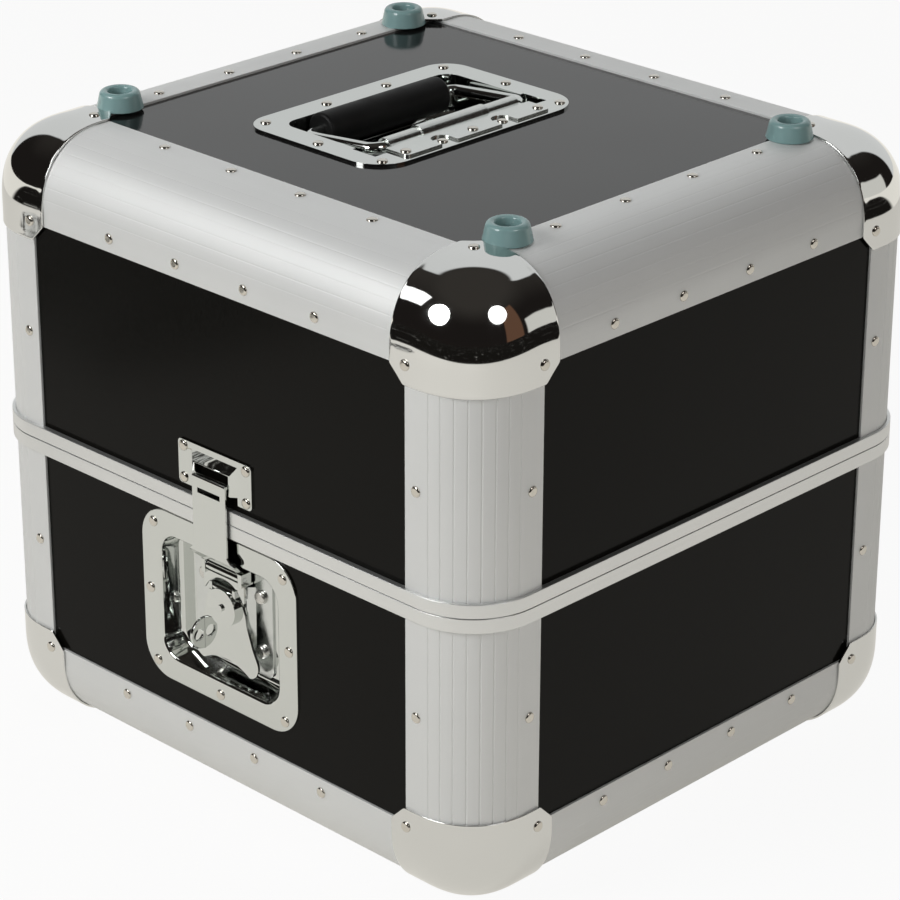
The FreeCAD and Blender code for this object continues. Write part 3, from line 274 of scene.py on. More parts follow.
# %% The floor and what mirrors see of it, in metres
FLOOR_HALF = 40.0
TABLE_REACH = 1.3
TABLE_SOFT = 0.02
TABLE_FRONT = (-0.7, -0.5)
HEAP_X = (-0.86, -0.49)
HEAP_Y = (-0.98, -0.54)
PAPER_LIT = (0.80, 0.785, 0.75, 1)
PAPER_MIRRORED = (0.93, 0.90, 0.835, 1)
FAR_DARK = (0.010, 0.009, 0.008, 1)
FAR_LITTER = (0.34, 0.33, 0.31, 1)
CLOTH_DARK = (0.030, 0.027, 0.024, 1)
CLOTH_PALE = (0.72, 0.72, 0.69, 1)
CAMERA_WHITE = 0.93
MIRROR_SHARE = 0.6

floor_mesh = bpy.data.meshes.new("floor")
floor_corners = [(x * FLOOR_HALF, y * FLOOR_HALF, 0)
                 for x, y in ((-1, -1), (1, -1), (1, 1), (-1, 1))]
floor_mesh.from_pydata(floor_corners, [], [(0, 1, 2, 3)])
floor = bpy.data.objects.new("floor", floor_mesh)
bpy.context.collection.objects.link(floor)
floor_finish = bpy.data.materials.new("floor")
floor_finish.use_nodes = True
paper = Board(floor_finish.node_tree)
lit = paper.add("ShaderNodeBsdfDiffuse", {}, {"Color": PAPER_LIT})
white = paper.add("ShaderNodeEmission", {}, {"Color": WHITE, "Strength": 1.0})
spot = paper.out(paper.add("ShaderNodeTexCoord", {}, {}), "Object")
reach = paper.out(paper.add("ShaderNodeVectorMath", {"operation": "LENGTH"}, {0: spot}), "Value")
across = paper.add("ShaderNodeSeparateXYZ", {}, {0: spot})
floor_x = paper.out(across, "X")
floor_y = paper.out(across, "Y")
in_front = paper.fade(floor_x - floor_y, *TABLE_FRONT)
past_table = paper.fade(reach, TABLE_REACH - TABLE_SOFT, TABLE_REACH + TABLE_SOFT)
litter = paper.fade(paper.noise(spot, scale=2.6, detail=5.0, rough=0.75), 0.60, 0.66)
far = paper.blend(litter, FAR_DARK, FAR_LITTER)
shown = paper.blend(past_table * in_front, PAPER_MIRRORED, far)
in_heap = (paper.band(floor_x, *HEAP_X, TABLE_SOFT)
           * paper.band(floor_y, *HEAP_Y, TABLE_SOFT))
crumple = paper.fade(paper.noise(spot, scale=22.0, detail=4.0, rough=0.7), 0.49, 0.54)
shown = paper.blend(in_heap, shown, paper.blend(crumple, CLOTH_DARK, CLOTH_PALE))
warm = paper.add("ShaderNodeEmission", {}, {"Color": shown, "Strength": 1.0})
rays = paper.add("ShaderNodeLightPath", {}, {})
share = MIRROR_SHARE + past_table * (1 - MIRROR_SHARE) + in_heap * (1 - MIRROR_SHARE)
mirrored = paper.add("ShaderNodeMixShader", {}, {
    0: paper.out(rays, "Is Glossy Ray") * share, 1: paper.out(lit, 0), 2: paper.out(warm, 0)})
both = paper.add("ShaderNodeMixShader", {}, {
    0: paper.out(rays, "Is Camera Ray") * CAMERA_WHITE,
    1: paper.out(mirrored, 0), 2: paper.out(white, 0)})
paper.add("ShaderNodeOutputMaterial", {}, {"Surface": paper.out(both, 0)})
floor_mesh.materials.append(floor_finish)
floor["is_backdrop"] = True
print("the floor is pale paper")

# %% [markdown]
# ## The lamps
# Two round lamps light the case from the front and the right, and show as two white discs in the
# near ball corner. A small rectangular lamp near the lid stands for the window on the left: a far
# one would show in every corner. Two more lamps only fill the shade, so mirrors don't see them.

# %% Hang the lamps, in degrees, metres and watts
LAMP_AIM = Vector((0, 0, 0.2))
WINDOW_HEIGHT = 0.16


def lamp(name, azimuth, elevation, distance, size, power, mirrored=True):
    """A round area lamp that hangs in a direction from the case and faces it."""
    data = bpy.data.lights.new(name, "AREA")
    data.shape = "DISK"
    data.size = size
    data.energy = power
    thing = bpy.data.objects.new(name, data)
    bpy.context.collection.objects.link(thing)
    thing.location = LAMP_AIM + from_azimuth(azimuth, elevation, distance)
    thing.rotation_euler = (LAMP_AIM - thing.location).to_track_quat("-Z", "Y").to_euler()
    thing.visible_glossy = mirrored
    return thing


lamp("front_lamp", -13, 32, 2.2, 1.0, 24.5)
lamp("right_lamp", 85, 38, 2.2, 0.95, 7.5)
lamp("top_fill", 224, 70, 2.4, 1.4, 8, mirrored=False)
corner_fill = lamp("corner_fill", 42, 10, 1.5, 0.6, 1.8, mirrored=False)
corner_fill.visible_camera = False
window = lamp("window", -35, 41.5, 0.684, 0.28, 0.24)
window.data.shape = "RECTANGLE"
window.data.size_y = WINDOW_HEIGHT
print("five lamps hang round the case")

# %% [markdown]
# ## Finishes
# Aluminium profile is drawn through a die, so its satin skin has faint lines along its length.
# The lines are noise squeezed across the profile, and they only stir the roughness and a very
# shallow bump. One finish per direction keeps the lines along the metal.

# %% Satin aluminium, one finish per direction
ALONG = {"x": (6, 900, 900), "y": (900, 6, 900), "z": (900, 900, 6)}
RING_STRETCH = (12, 12, 1500)
ALUMINIUM_DARK = (0.74, 0.75, 0.745, 1)
ALUMINIUM_PALE = (0.80, 0.81, 0.80, 1)


def aluminium(name, stretch, metal=0.45, dull=0.48, line_depth=0.00002):
    """Part metal and part pale matt, as anodised metal is, with noise drawn out into lines."""
    def build(board):
        lines = board.noise(board.place(stretch), scale=1.0, detail=3.0)
        cloud = board.noise(board.place(), scale=14.0, detail=2.0)
        colour = board.blend(cloud, ALUMINIUM_DARK, ALUMINIUM_PALE)
        return {"Base Color": colour, "Metallic": metal,
                "Roughness": dull + lines * 0.14, "Normal": board.bump(lines, line_depth)}
    return finish(name, build)


profile = {way: aluminium("satin aluminium along " + way, stretch)
           for way, stretch in ALONG.items()}
profile["ring"] = aluminium("closing profile aluminium", RING_STRETCH, 0.85, 0.24, 0.000002)
print(len(profile), "aluminium finishes")

# %% [markdown]
# Chrome on pressed steel is a plain mirror. It could be left at that, but hands have been on it:
# a cloud of noise makes it a little duller in places, which keeps the reflections from looking
# computed.

# %% Chrome
MIRROR_ROUGHNESS = 0.045


def chrome(name, tint, smudge):
    """Mirror metal: nearly no roughness, with faint finger smudges where it gets a little dull."""
    def build(board):
        cloud = board.noise(board.place(), scale=55.0, detail=4.0, rough=0.6)
        dull = board.fade(cloud, 0.5, 0.75)
        return {"Base Color": tint, "Metallic": 1.0,
                "Roughness": MIRROR_ROUGHNESS + dull * smudge}
    return finish(name, build)


cap_chrome = chrome("ball corner chrome", (0.73, 0.735, 0.72, 1), 0.05)
latch_chrome = chrome("latch chrome", (0.66, 0.68, 0.66, 1), 0.10)
handle_chrome = chrome("handle chrome", (0.66, 0.68, 0.66, 1), 0.08)
print("three chrome finishes")

# %% [markdown]
# Rivets, screws, pins and inner plates have a thin zinc or nickel plating that is less even than
# chrome. It is the same metal shader with a roughness that wanders between two limits.

# %% Plated steel
def plated(name, tint, low, high):
    """Metal whose roughness goes from low to high with a fine cloud."""
    def build(board):
        cloud = board.noise(board.place(), scale=220.0, detail=3.0)
        return {"Base Color": tint, "Metallic": 1.0,
                "Roughness": board.fade(cloud, 0.3, 0.7, low, high)}
    return finish(name, build)


rivet_steel = plated("nickel rivet", (0.66, 0.63, 0.57, 1), 0.10, 0.20)
screw_steel = plated("plated screw", (0.66, 0.65, 0.62, 1), 0.16, 0.34)
plate_steel = plated("latch inner plate", (0.66, 0.68, 0.67, 1), 0.14, 0.24)
cover_steel = plated("handle cover plate", (0.68, 0.70, 0.68, 1), 0.19, 0.23)
spring_steel = plated("spring wire", (0.50, 0.49, 0.48, 1), 0.25, 0.40)
print("five plated finishes")

# %% [markdown]
# The panels are plywood under black laminate. The sides look deep and quiet, the top is glossier
# and mirrors the backdrop. The sides and the bottom use a copy of the laminate with a darker colour,
# which is painted shade, and a lower gloss. A laminate is never quite flat, so a slow wave bends its
# reflections, and a fine grain keeps them from being a perfect mirror.

# %% Black laminate
def laminate(name, colour, gloss, low, high):
    """Near black coat with a gloss, a roughness from low to high and a slightly wavy face."""
    def build(board):
        grain = board.noise(board.place(), scale=900.0, detail=2.0)
        wave = board.noise(board.place(), scale=9.0, detail=1.0)
        height = wave * 0.6 + grain * 0.02
        return {"Base Color": colour, "Specular IOR Level": gloss,
                "Roughness": board.fade(grain, 0.3, 0.7, low, high),
                "Normal": board.bump(height, 0.0006)}
    return finish(name, build)


# painted shade: the walls and the bottom get a darker colour than the top, though both are one
# laminate
side_laminate_painted_shade = laminate("side laminate with painted shade", (0.0036, 0.0033, 0.0025, 1), 0.08, 0.14, 0.22)
top_laminate = laminate("top laminate", (0.009, 0.009, 0.009, 1), 0.40, 0.07, 0.12)
print("two laminates")

# %% [markdown]
# The grip is black rubber that has worn grey in places, the feet are glossy blue-green plastic,
# and the pads inside are dark foam. Each one is a principled shader with one or two noises.

# %% Rubber, plastic and foam
def rubber(board):
    """Fine grain, and a cloud that makes it paler and duller where it has worn."""
    grain = board.noise(board.place(), scale=1400.0, detail=3.0)
    worn = board.fade(board.noise(board.place(), scale=60.0, detail=3.0), 0.45, 0.8)
    colour = board.blend(worn, (0.0035, 0.0035, 0.0035, 1), (0.009, 0.009, 0.009, 1))
    return {"Base Color": colour, "Roughness": 0.5 + worn * 0.2, "Specular IOR Level": 0.22,
            "Normal": board.bump(grain, 0.00006)}


def foot_plastic(board):
    """Moulded plastic: glossy, with hardly any change in colour."""
    cloud = board.noise(board.place(), scale=90.0, detail=2.0)
    colour = board.blend(cloud, (0.190, 0.315, 0.315, 1), (0.245, 0.385, 0.385, 1))
    return {"Base Color": colour, "Roughness": 0.20, "Specular IOR Level": 0.6}


def foam(board):
    """Open cells: tiny bumps, pale on top, and painted shade that blackens the pits between."""
    cells_and_pit_shade = board.noise(board.place(), scale=2200.0, detail=2.0)
    # painted shade: the colour goes black where the cell bump is low, in the pits between the cells
    colour = board.blend(cells_and_pit_shade, (0.015, 0.015, 0.016, 1), (0.05, 0.05, 0.052, 1))
    return {"Base Color": colour, "Roughness": 0.95, "Normal": board.bump(cells_and_pit_shade, 0.0004)}


grip_rubber = finish("grip rubber", rubber)
foot_finish = finish("foot plastic", foot_plastic)
foam_finish = finish("foam", foam)
print("rubber, plastic and foam")

# %% [markdown]
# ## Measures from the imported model
# A rebuilt piece must sit exactly where its solid sits. The corner posts give the outer planes of
# the case, and each wall and the top get a frame of their own: s runs along the side, t goes up
# it, or towards the back on the top, and o points outwards.

# %% Outer planes and the frames of the sides
BODY_OF = {node: body for body, nodes in frame["record"]["behaviour"]["bodies"].items()
           for node in nodes}
SIDES = ("front", "right", "back", "left")


def measure(node):
    """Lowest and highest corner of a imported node, in millimetres."""
    low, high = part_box(node)
    return np.array(low) / MM, np.array(high) / MM


posts_low, posts_high = measure("base_corner_posts")
HALF_WIDTH = posts_high[0]
HALF_DEPTH = posts_high[1]
FOOT_PLANE = measure("base_front_bottom_edge")[0][2]
TOP_PLANE = measure("lid_front_top_edge")[1][2]
SIDE_FRAMES = {
    "front": ((0, -HALF_DEPTH, FOOT_PLANE), (1, 0, 0), (0, 0, 1)),
    "right": ((HALF_WIDTH, 0, FOOT_PLANE), (0, 1, 0), (0, 0, 1)),
    "back": ((0, HALF_DEPTH, FOOT_PLANE), (-1, 0, 0), (0, 0, 1)),
    "left": ((-HALF_WIDTH, 0, FOOT_PLANE), (0, -1, 0), (0, 0, 1)),
    "top": ((0, 0, TOP_PLANE), (1, 0, 0), (0, 1, 0)),
}


def on_side(side, s, t, o):
    """Points of a side's frame as points of the case: origin + s S + t T + o (S x T)."""
    origin, along, up = (np.array(v, float) for v in SIDE_FRAMES[side])
    out = np.cross(along, up)
    s, t, o = np.broadcast_arrays(s, t, o)
    return origin + s[..., None] * along + t[..., None] * up + o[..., None] * out


print("outer planes at", round(HALF_WIDTH, 1), round(HALF_DEPTH, 1), round(TOP_PLANE, 1), "mm")

# %% [markdown]
# ## Surfaces on a grid
# Every rebuilt piece is a grid of points: one index runs along the piece and the other across it.
# Neighbours in the grid make the faces, so the faces need no thought. A grid can close on itself
# in either direction, and a round piece closes its ends with one flat face each.

# %% From a grid of points to a piece
def grid_faces(rows, columns, wrap_rows=False, wrap_columns=False):
    """Quads between the neighbours of a grid whose points are numbered row by row."""
    r, c = np.meshgrid(np.arange(rows if wrap_rows else rows - 1),
                       np.arange(columns if wrap_columns else columns - 1), indexing="ij")
    r2 = (r + 1) % rows
    c2 = (c + 1) % columns
    corners = (r * columns + c, r * columns + c2, r2 * columns + c2, r2 * columns + c)
    return np.stack(corners, -1).reshape(-1, 4)


def joined(shapes):
    """Points and faces of several shapes as one list of points and one list of faces."""
    points = []
    faces = []
    count = 0
    for shape_points, shape_faces in shapes:
        points.append(shape_points.reshape(-1, 3))
        faces += [[int(i) + count for i in face] for face in shape_faces]
        count += len(points[-1])
    return np.concatenate(points), faces


MERGE_DISTANCE = 2e-6


def piece_from(name, shapes, material, node, sharp_deg=35.0, closed=True):
    """Mesh object in the case's frame from shapes in millimetres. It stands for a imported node."""
    points, faces = joined(shapes)
    mesh = bpy.data.meshes.new(name)
    mesh.from_pydata((points * MM).tolist(), [], faces)
    grid = bmesh.new()
    grid.from_mesh(mesh)
    bmesh.ops.remove_doubles(grid, verts=grid.verts, dist=MERGE_DISTANCE)
    if closed:
        bmesh.ops.recalc_face_normals(grid, faces=grid.faces)
    grid.to_mesh(mesh)
    grid.free()
    mesh.materials.append(material)
    mesh.shade_smooth()
    mesh.set_sharp_from_angle(angle=math.radians(sharp_deg))
    piece = bpy.data.objects.new(name, mesh)
    bpy.context.collection.objects.link(piece)
    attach(piece, BODY_OF[node])
    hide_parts(node)
    print(name, len(mesh.polygons), "faces")
    return piece


def smooth_step(x, low, high):
    """Nought below the first limit, one above the second, 3 x^2 - 2 x^3 between them."""
    x = np.clip((x - low) / (high - low), 0, 1)
    return x * x * (3 - 2 * x)


# %% [markdown]
# ## Edge profiles
# A profile is one drawn section, so it is a closed outline carried along a straight line. The
# outline is two flat flanges joined by a quarter circle with fine grooves. Its ends are mitred:
# a point that lies deeper under the next side starts later.

# %% The section of the edge profile
EDGE_RADIUS = posts_low[2] - FOOT_PLANE
FLANGE_REACH = measure("base_front_bottom_edge")[1][2] - FOOT_PLANE
PROFILE_WALL = 1.5
FLANGE_ROUND = 0.35
GROOVES = 8
GROOVE_PITCH = math.radians(10.5)
GROOVE_HALF = 0.34
POST_GROOVE = 0.34
EDGE_GROOVE = 0.06
ARC_POINTS = 600
LIP_POINTS = 5
INSIDE_POINTS = 24
MITRE_GAP = 0.05


def edge_section(groove_depth):
    """Depths (u, v) under the two outer planes, round the outline of a profile.

    On the quarter circle, the radius is R - depth * sum exp(-(arc length from groove / half)^2).
    """
    angle = np.linspace(0, math.pi / 2, ARC_POINTS)
    middle = math.pi / 4 + (np.arange(GROOVES) - (GROOVES - 1) / 2) * GROOVE_PITCH
    away = EDGE_RADIUS * (angle[:, None] - middle) / GROOVE_HALF
    radius = EDGE_RADIUS - groove_depth * np.exp(-away ** 2).sum(1)
    arc_u = EDGE_RADIUS - radius * np.cos(angle)
    arc_v = EDGE_RADIUS - radius * np.sin(angle)
    turn = np.linspace(0, math.pi / 2, LIP_POINTS)
    lip_u = FLANGE_ROUND * (1 - np.cos(turn))
    lip_v = FLANGE_REACH - FLANGE_ROUND * (1 - np.sin(turn))
    inner = np.linspace(math.pi / 2, 0, INSIDE_POINTS)
    inside = EDGE_RADIUS - PROFILE_WALL
    u = np.concatenate([[PROFILE_WALL], lip_u[::-1], arc_u, lip_v, [FLANGE_REACH],
                        EDGE_RADIUS - inside * np.cos(inner)])
    v = np.concatenate([[FLANGE_REACH], lip_v[::-1], arc_v, lip_u, [PROFILE_WALL],
                        EDGE_RADIUS - inside * np.sin(inner)])
    return u, v


def bar_along(u, v, length, far_end):
    """Distance along the bar for each point of the section at its two ends, as (2, n)."""
    mitre = np.maximum(EDGE_RADIUS, np.maximum(u, v)) + MITRE_GAP
    return np.stack([mitre, length - mitre if far_end else np.full_like(mitre, length)])


def bar_faces(count):
    """Faces of a two-station bar, with one face on each end."""
    faces = grid_faces(2, count, wrap_columns=True).tolist()
    return faces + [list(range(count)), list(range(count, 2 * count))]


# %% [markdown]
# The horizontal profiles run along the top and the bottom of each wall. The posts stand at the
# corners and end at the closing profile round the mouth.

# %% Draw the profiles
def rim_edge(side, lid):
    """Bar along the top or the bottom of a wall, mitred at both ends."""
    section_u, section_v = edge_section(EDGE_GROOVE)
    reach = HALF_WIDTH if side in ("front", "back") else HALF_DEPTH
    along = bar_along(section_u, section_v, 2 * reach, True) - reach
    height = TOP_PLANE - FOOT_PLANE
    t = height - section_v if lid else section_v
    return on_side(side, along, t, -section_u), bar_faces(len(section_u))


def post(sx, sy, lid):
    """Bar at the corner with signs (sx, sy), from the ball corner to the closing profile."""
    section_u, section_v = edge_section(POST_GROOVE)
    node = "lid_corner_posts" if lid else "base_corner_posts"
    low, high = measure(node)
    length = TOP_PLANE - low[2] if lid else high[2] - FOOT_PLANE
    along = bar_along(section_u, section_v, length, False)
    z = TOP_PLANE - along if lid else FOOT_PLANE + along
    x = sx * (HALF_WIDTH - section_u)
    y = sy * (HALF_DEPTH - section_v)
    return np.stack(np.broadcast_arrays(x, y, z), -1), bar_faces(len(section_u))


HALVES = (("base", "bottom"), ("lid", "top"))

for half, end in HALVES:
    for side in SIDES:
        node = "%s_%s_%s_edge" % (half, side, end)
        way = "x" if side in ("front", "back") else "y"
        piece_from(node + "_drawn", [rim_edge(side, half == "lid")], profile[way], node)
    posts = [post(sx, sy, half == "lid") for sx in (-1, 1) for sy in (-1, 1)]
    piece_from(half + "_posts_drawn", posts, profile["z"], half + "_corner_posts")

# %% [markdown]
# ## Ball corners
# A pressed corner is a cube's corner that has been rounded so softly that the flat flaps and the
# round knob flow into each other. A sphere with cylinders would show a kink in each reflection.
# So each point of the sharp corner is pulled onto a surface whose distance from the inner corner
# is a power mean: (dx^p + dy^p + dz^p)^(1/p) = R with p a little above two. Three faces of the
# cube give three grids that meet along their edges.

# %% One pressed corner
CAP_POWER = 2.4
CAP_ROUND = 46.5
CAP_SHEET = FOOT_PLANE
CAP_REACH = TOP_PLANE - measure("lid_ball_corners")[0][2] + CAP_SHEET
CAP_FLAP = EDGE_RADIUS + CAP_SHEET
CAP_LIP = 0.08
CAP_RIM = (4.5, 0.5)
CAP_WALL = 1.2
CAP_EDGE = 0.25
CAP_CELLS = 44
CAP_SHARP = 60


def cap_face(face):
    """Depths under the cap's three outer planes, over the face that is nought on one of them.

    Where all depths are under R, each point moves to R - R i / |i|, where i = R - depth and |i| is
    the power mean. Its normal is i to the power p - 1. Also gives how near a point is to the rim.
    """
    steps = np.linspace(0, 1, CAP_CELLS) * CAP_REACH
    a, b = np.meshgrid(steps, steps, indexing="ij")
    # the flat flap's outer corner is cut at 45 degrees: shrink its square along each ray
    flap = CAP_REACH - CAP_FLAP
    fa = np.clip((a - CAP_FLAP) / flap, 0, 1)
    fb = np.clip((b - CAP_FLAP) / flap, 0, 1)
    reach = np.maximum(fa, fb)
    cut = (FLANGE_REACH + CAP_SHEET - CAP_FLAP) / flap + 1
    ray = np.minimum(1, cut * reach / np.maximum(fa + fb, 1e-9))
    shrink = np.where((fa > 0) & (fb > 0), 1 - (1 - ray) * reach, 1)
    a = np.where(fa > 0, CAP_FLAP + fa * flap * shrink, a)
    b = np.where(fb > 0, CAP_FLAP + fb * flap * shrink, b)
    depths = np.zeros(a.shape + (3,))
    depths[..., (face + 1) % 3] = a
    depths[..., (face + 2) % 3] = b
    inner = np.maximum(0, CAP_ROUND - depths)
    norm = (inner ** CAP_POWER).sum(-1, keepdims=True) ** (1 / CAP_POWER)
    pulled = CAP_ROUND * inner / norm
    rounded = np.where(depths > CAP_ROUND, depths, CAP_ROUND - pulled)
    normal = pulled ** (CAP_POWER - 1)
    normal = normal / np.linalg.norm(normal, axis=-1, keepdims=True)
    # the rim flares out a little where the sheet was trimmed, but not on the side it stands on
    rim = smooth_step(depths.max(-1), CAP_REACH - CAP_RIM[0], CAP_REACH - CAP_RIM[1])[..., None]
    return rounded, normal, rim


def ball_corner(sx, sy, lid):
    """One corner of the case. Its grids face outwards."""
    shapes = []
    for face in range(3):
        depths, normal, rim = cap_face(face)
        flare = CAP_LIP * rim * (1 if lid else 1 - normal[..., 2:3])
        depths = depths - CAP_SHEET - flare * normal
        x = sx * (HALF_WIDTH - depths[..., 0])
        y = sy * (HALF_DEPTH - depths[..., 1])
        z = TOP_PLANE - depths[..., 2] if lid else FOOT_PLANE + depths[..., 2]
        points = np.stack([x, y, z], -1)
        faces = grid_faces(*x.shape)
        # the normal of the middle cell must point the same way as the corner does
        middle = x.shape[0] // 2
        here = points[middle, middle]
        across = np.cross(points[middle, middle + 1] - here, points[middle + 1, middle] - here)
        outwards = across @ np.array([sx, sy, 1 if lid else -1]) > 0
        shapes.append((points, faces if outwards else faces[:, ::-1]))
    return shapes


for half, _ in HALVES:
    shapes = []
    for sx in (-1, 1):
        for sy in (-1, 1):
            shapes += ball_corner(sx, sy, half == "lid")
    caps = piece_from(half + "_caps_pressed", shapes, cap_chrome, half + "_ball_corners",
                      sharp_deg=CAP_SHARP, closed=False)
    sheet = caps.modifiers.new("sheet", "SOLIDIFY")
    sheet.thickness = CAP_WALL * MM
    sheet.offset = -1
    edge = caps.modifiers.new("edge", "BEVEL")
    edge.width = CAP_EDGE * MM
    edge.segments = 2
    edge.angle_limit = math.radians(CAP_SHARP)

# %% [markdown]
# ## Latch dishes
# The dish is one pressed sheet: a flat rim, a lip that rolls over into the bowl, steep walls and
# a rounded floor. Each level of it is a rectangle with round corners, so the sheet is a stack of
# such rings. A ring has the same number of points everywhere, which makes the stack a grid.

# %% A stack of rounded rectangles
RING_CORNER_POINTS = 14
SMALLEST_CORNER = 0.6
ROUND_STEPS = 8
INNERMOST = 8
STEEP_TOP = 0.2


def rounded_rings(rectangle, inset, top_share=1.0):
    """Rings (k, n, 2) round a rectangle (x0, x1, y0, y1, corner), each drawn in by its inset.

    The upper side is drawn in by only a share of it.
    """
    x0, x1, y0, y1, corner = rectangle
    i = np.asarray(inset, float)[:, None]
    top = np.where(i > 0, i * top_share, i)
    r = np.maximum(corner - i, SMALLEST_CORNER)
    turn = np.linspace(0, math.pi / 2, RING_CORNER_POINTS)
    centres = ((x1 - i - r, y1 - top - r), (x0 + i + r, y1 - top - r),
               (x0 + i + r, y0 + i + r), (x1 - i - r, y0 + i + r))
    quarters = []
    for quarter, (cx, cy) in enumerate(centres):
        angle = turn + quarter * math.pi / 2
        quarters.append(np.stack([cx + r * np.cos(angle), cy + r * np.sin(angle)], -1))
    return np.concatenate(quarters, axis=1)


def bowl_levels(floor, face, fillet, lip, slope, grow):
    """Insets and heights from the floor's middle, round its fillet, up the wall and over the lip.

    Both rounds are arcs that turn from flat to the wall's slope and back: r sin a along and
    r (1 - cos a) up. The wall is the straight line between them. The lower face of the sheet is
    the same curve, grown outwards by the sheet's thickness.
    """
    a = np.linspace(0, slope, ROUND_STEPS)
    rise = (face - floor) - (lip + fillet) * (1 - math.cos(slope))
    middle = (fillet + lip) * math.sin(slope) + rise / math.tan(slope) - lip
    low = fillet + grow
    high = lip - grow
    inset = np.concatenate([[middle + INNERMOST], middle - low * np.sin(a),
                            high * np.sin(a[::-1]) - lip])
    height = np.concatenate([[floor - grow], floor - grow + low * (1 - np.cos(a)),
                             face - grow - high * (1 - np.cos(a[::-1]))])
    return inset, height


def pressed_pan(side, rim, bowl, floor, face, sheet, lip, fillet, slope, edge):
    """Sheet with a bowl in a side's frame, as a closed stack of rings, upper face first.

    The bowl's upper wall is steeper than the others, which leaves room for the rising carriage.
    """
    up_inset, up_height = bowl_levels(floor, face, fillet, lip, slope, 0)
    down_inset, down_height = bowl_levels(floor, face, fillet, lip, slope, sheet)
    a = np.linspace(0, math.pi / 2, LIP_POINTS)
    rim_inset = np.append(edge * (1 - np.sin(a)), 0)
    rim_height = np.append(face - edge * (1 - np.cos(a)), face - sheet)
    rings = np.concatenate([rounded_rings(bowl, up_inset, STEEP_TOP),
                            rounded_rings(rim, rim_inset),
                            rounded_rings(bowl, down_inset[::-1], STEEP_TOP)])
    height = np.concatenate([up_height, rim_height, down_height[::-1]])[:, None]
    points = on_side(side, rings[..., 0], rings[..., 1], height)
    rows, columns = rings.shape[:2]
    faces = grid_faces(rows, columns, wrap_columns=True).tolist()
    faces += [list(range(columns)), list(range((rows - 1) * columns, rows * columns))]
    return points, faces


# %% [markdown]
# The bowl's place and depth are named here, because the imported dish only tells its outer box. Its
# walls lean a little, as a pressed sheet's must, or it would stick to the die.

# %% Press the two latch dishes, in millimetres
BOWL_HALF = 47.0
BOWL_BELOW = 14.5
BOWL_ABOVE = 14.7
BOWL_CORNER = 13.0
BOWL_DEPTH = 13.0
BOWL_FILLET = 3.0
BOWL_SLOPE = math.radians(75)
DISH_CORNER = 20.0
DISH_SHEET = 1.3
DISH_LIP = 1.9
DISH_EDGE = 0.5

for side in ("front", "back"):
    node = "latch_dish_" + side
    low, high = measure(node)
    t0 = low[2] - FOOT_PLANE
    t1 = high[2] - FOOT_PLANE
    face = max(abs(low[1]), abs(high[1])) - HALF_DEPTH
    rim = (low[0], high[0], t0, t1, DISH_CORNER)
    bowl = (-BOWL_HALF, BOWL_HALF, t0 + BOWL_BELOW, t1 - BOWL_ABOVE, BOWL_CORNER)
    pan = pressed_pan(side, rim, bowl, -BOWL_DEPTH, face, DISH_SHEET, DISH_LIP, BOWL_FILLET,
                      BOWL_SLOPE, DISH_EDGE)
    piece_from(node + "_pressed", [pan], latch_chrome, node)

# %% [markdown]
# ## Feet
# A stacking foot is turned: one outline carried round an axis. The outline goes up the cone,
# over a soft shoulder, down into the screw's well and back through the bore, and closes on
# itself, so the foot is a ring with no loose edge.

# %% Turn the four feet, in millimetres
FOOT_BASE = 13.2
FOOT_TOP = 11.6
FOOT_WELL = 6.6
FOOT_WELL_FLOOR = 4.0
FOOT_BORE = 2.4
FOOT_SHOULDER = 3.0
FOOT_INNER = 1.5
FOOT_INNER_DROP = 0.3
FOOT_WELL_ROUND = 1.2
FOOT_CHAMFER = 0.5
FOOT_TURNS = 72


def quarter_turn(centre_r, centre_h, radius, start, end, count=8):
    """Points (r, h) of an arc round a centre between two angles in degrees."""
    angle = np.radians(np.linspace(start, end, count))
    return np.stack([centre_r + radius * np.cos(angle), centre_h + radius * np.sin(angle)], -1)


def foot_outline(height):
    """Chamfer, cone and outer shoulder, inner shoulder, round of the well's floor, and bore."""
    inner_top = height - FOOT_INNER_DROP - FOOT_INNER
    return np.concatenate([
        [(FOOT_BASE - FOOT_CHAMFER, 0), (FOOT_BASE, FOOT_CHAMFER)],
        quarter_turn(FOOT_TOP - FOOT_SHOULDER, height - FOOT_SHOULDER, FOOT_SHOULDER, 8, 84),
        quarter_turn(FOOT_WELL + FOOT_INNER, inner_top, FOOT_INNER, 90, 180),
        quarter_turn(FOOT_WELL - FOOT_WELL_ROUND, FOOT_WELL_FLOOR + FOOT_WELL_ROUND,
                     FOOT_WELL_ROUND, 0, -90),
        [(FOOT_BORE, FOOT_WELL_FLOOR), (FOOT_BORE, 0)],
    ])


def turned(side, s, t, base, outline):
    """Outline (r, h) carried round the outward axis through (s, t), closed both ways."""
    angle = np.linspace(0, 2 * math.pi, FOOT_TURNS, endpoint=False)[:, None]
    points = on_side(side, s + outline[:, 0] * np.cos(angle), t + outline[:, 0] * np.sin(angle),
                     base + outline[:, 1])
    return points, grid_faces(FOOT_TURNS, len(outline), True, True)


low, high = measure("lid_feet")
outline = foot_outline(high[2] - TOP_PLANE)
feet = [turned("top", s, t, 0, outline)
        for s in (low[0] + FOOT_BASE, high[0] - FOOT_BASE)
        for t in (low[1] + FOOT_BASE, high[1] - FOOT_BASE)]
piece_from("feet_turned", feet, foot_finish, "lid_feet")

# %% [markdown]
# ## Rivets
# A factory rivet has a low, nearly flat head with a rounded shoulder, so it shows a pale disc with
# a dark rim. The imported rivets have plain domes. Each one is an island of its mesh, and the box
# round an island tells where the rivet sits and which way it points. A new one is turned there.

# %% Find the rivets and turn them anew
RIVET_TURNS = 18
# each row of the outline is a share of the head's radius, and a share of its height
RIVET_HEAD = np.array([(0.0, 1.0), (0.52, 1.0), (0.70, 0.95), (0.86, 0.78), (0.96, 0.50),
                       (1.0, 0.18), (1.0, 0.0)])
RIVET_SHANK = 0.5
RIVET_HEAD_HEIGHT = 1.1
FLUSH_LENGTH = 6.5
FLUSH_SINK = 0.05


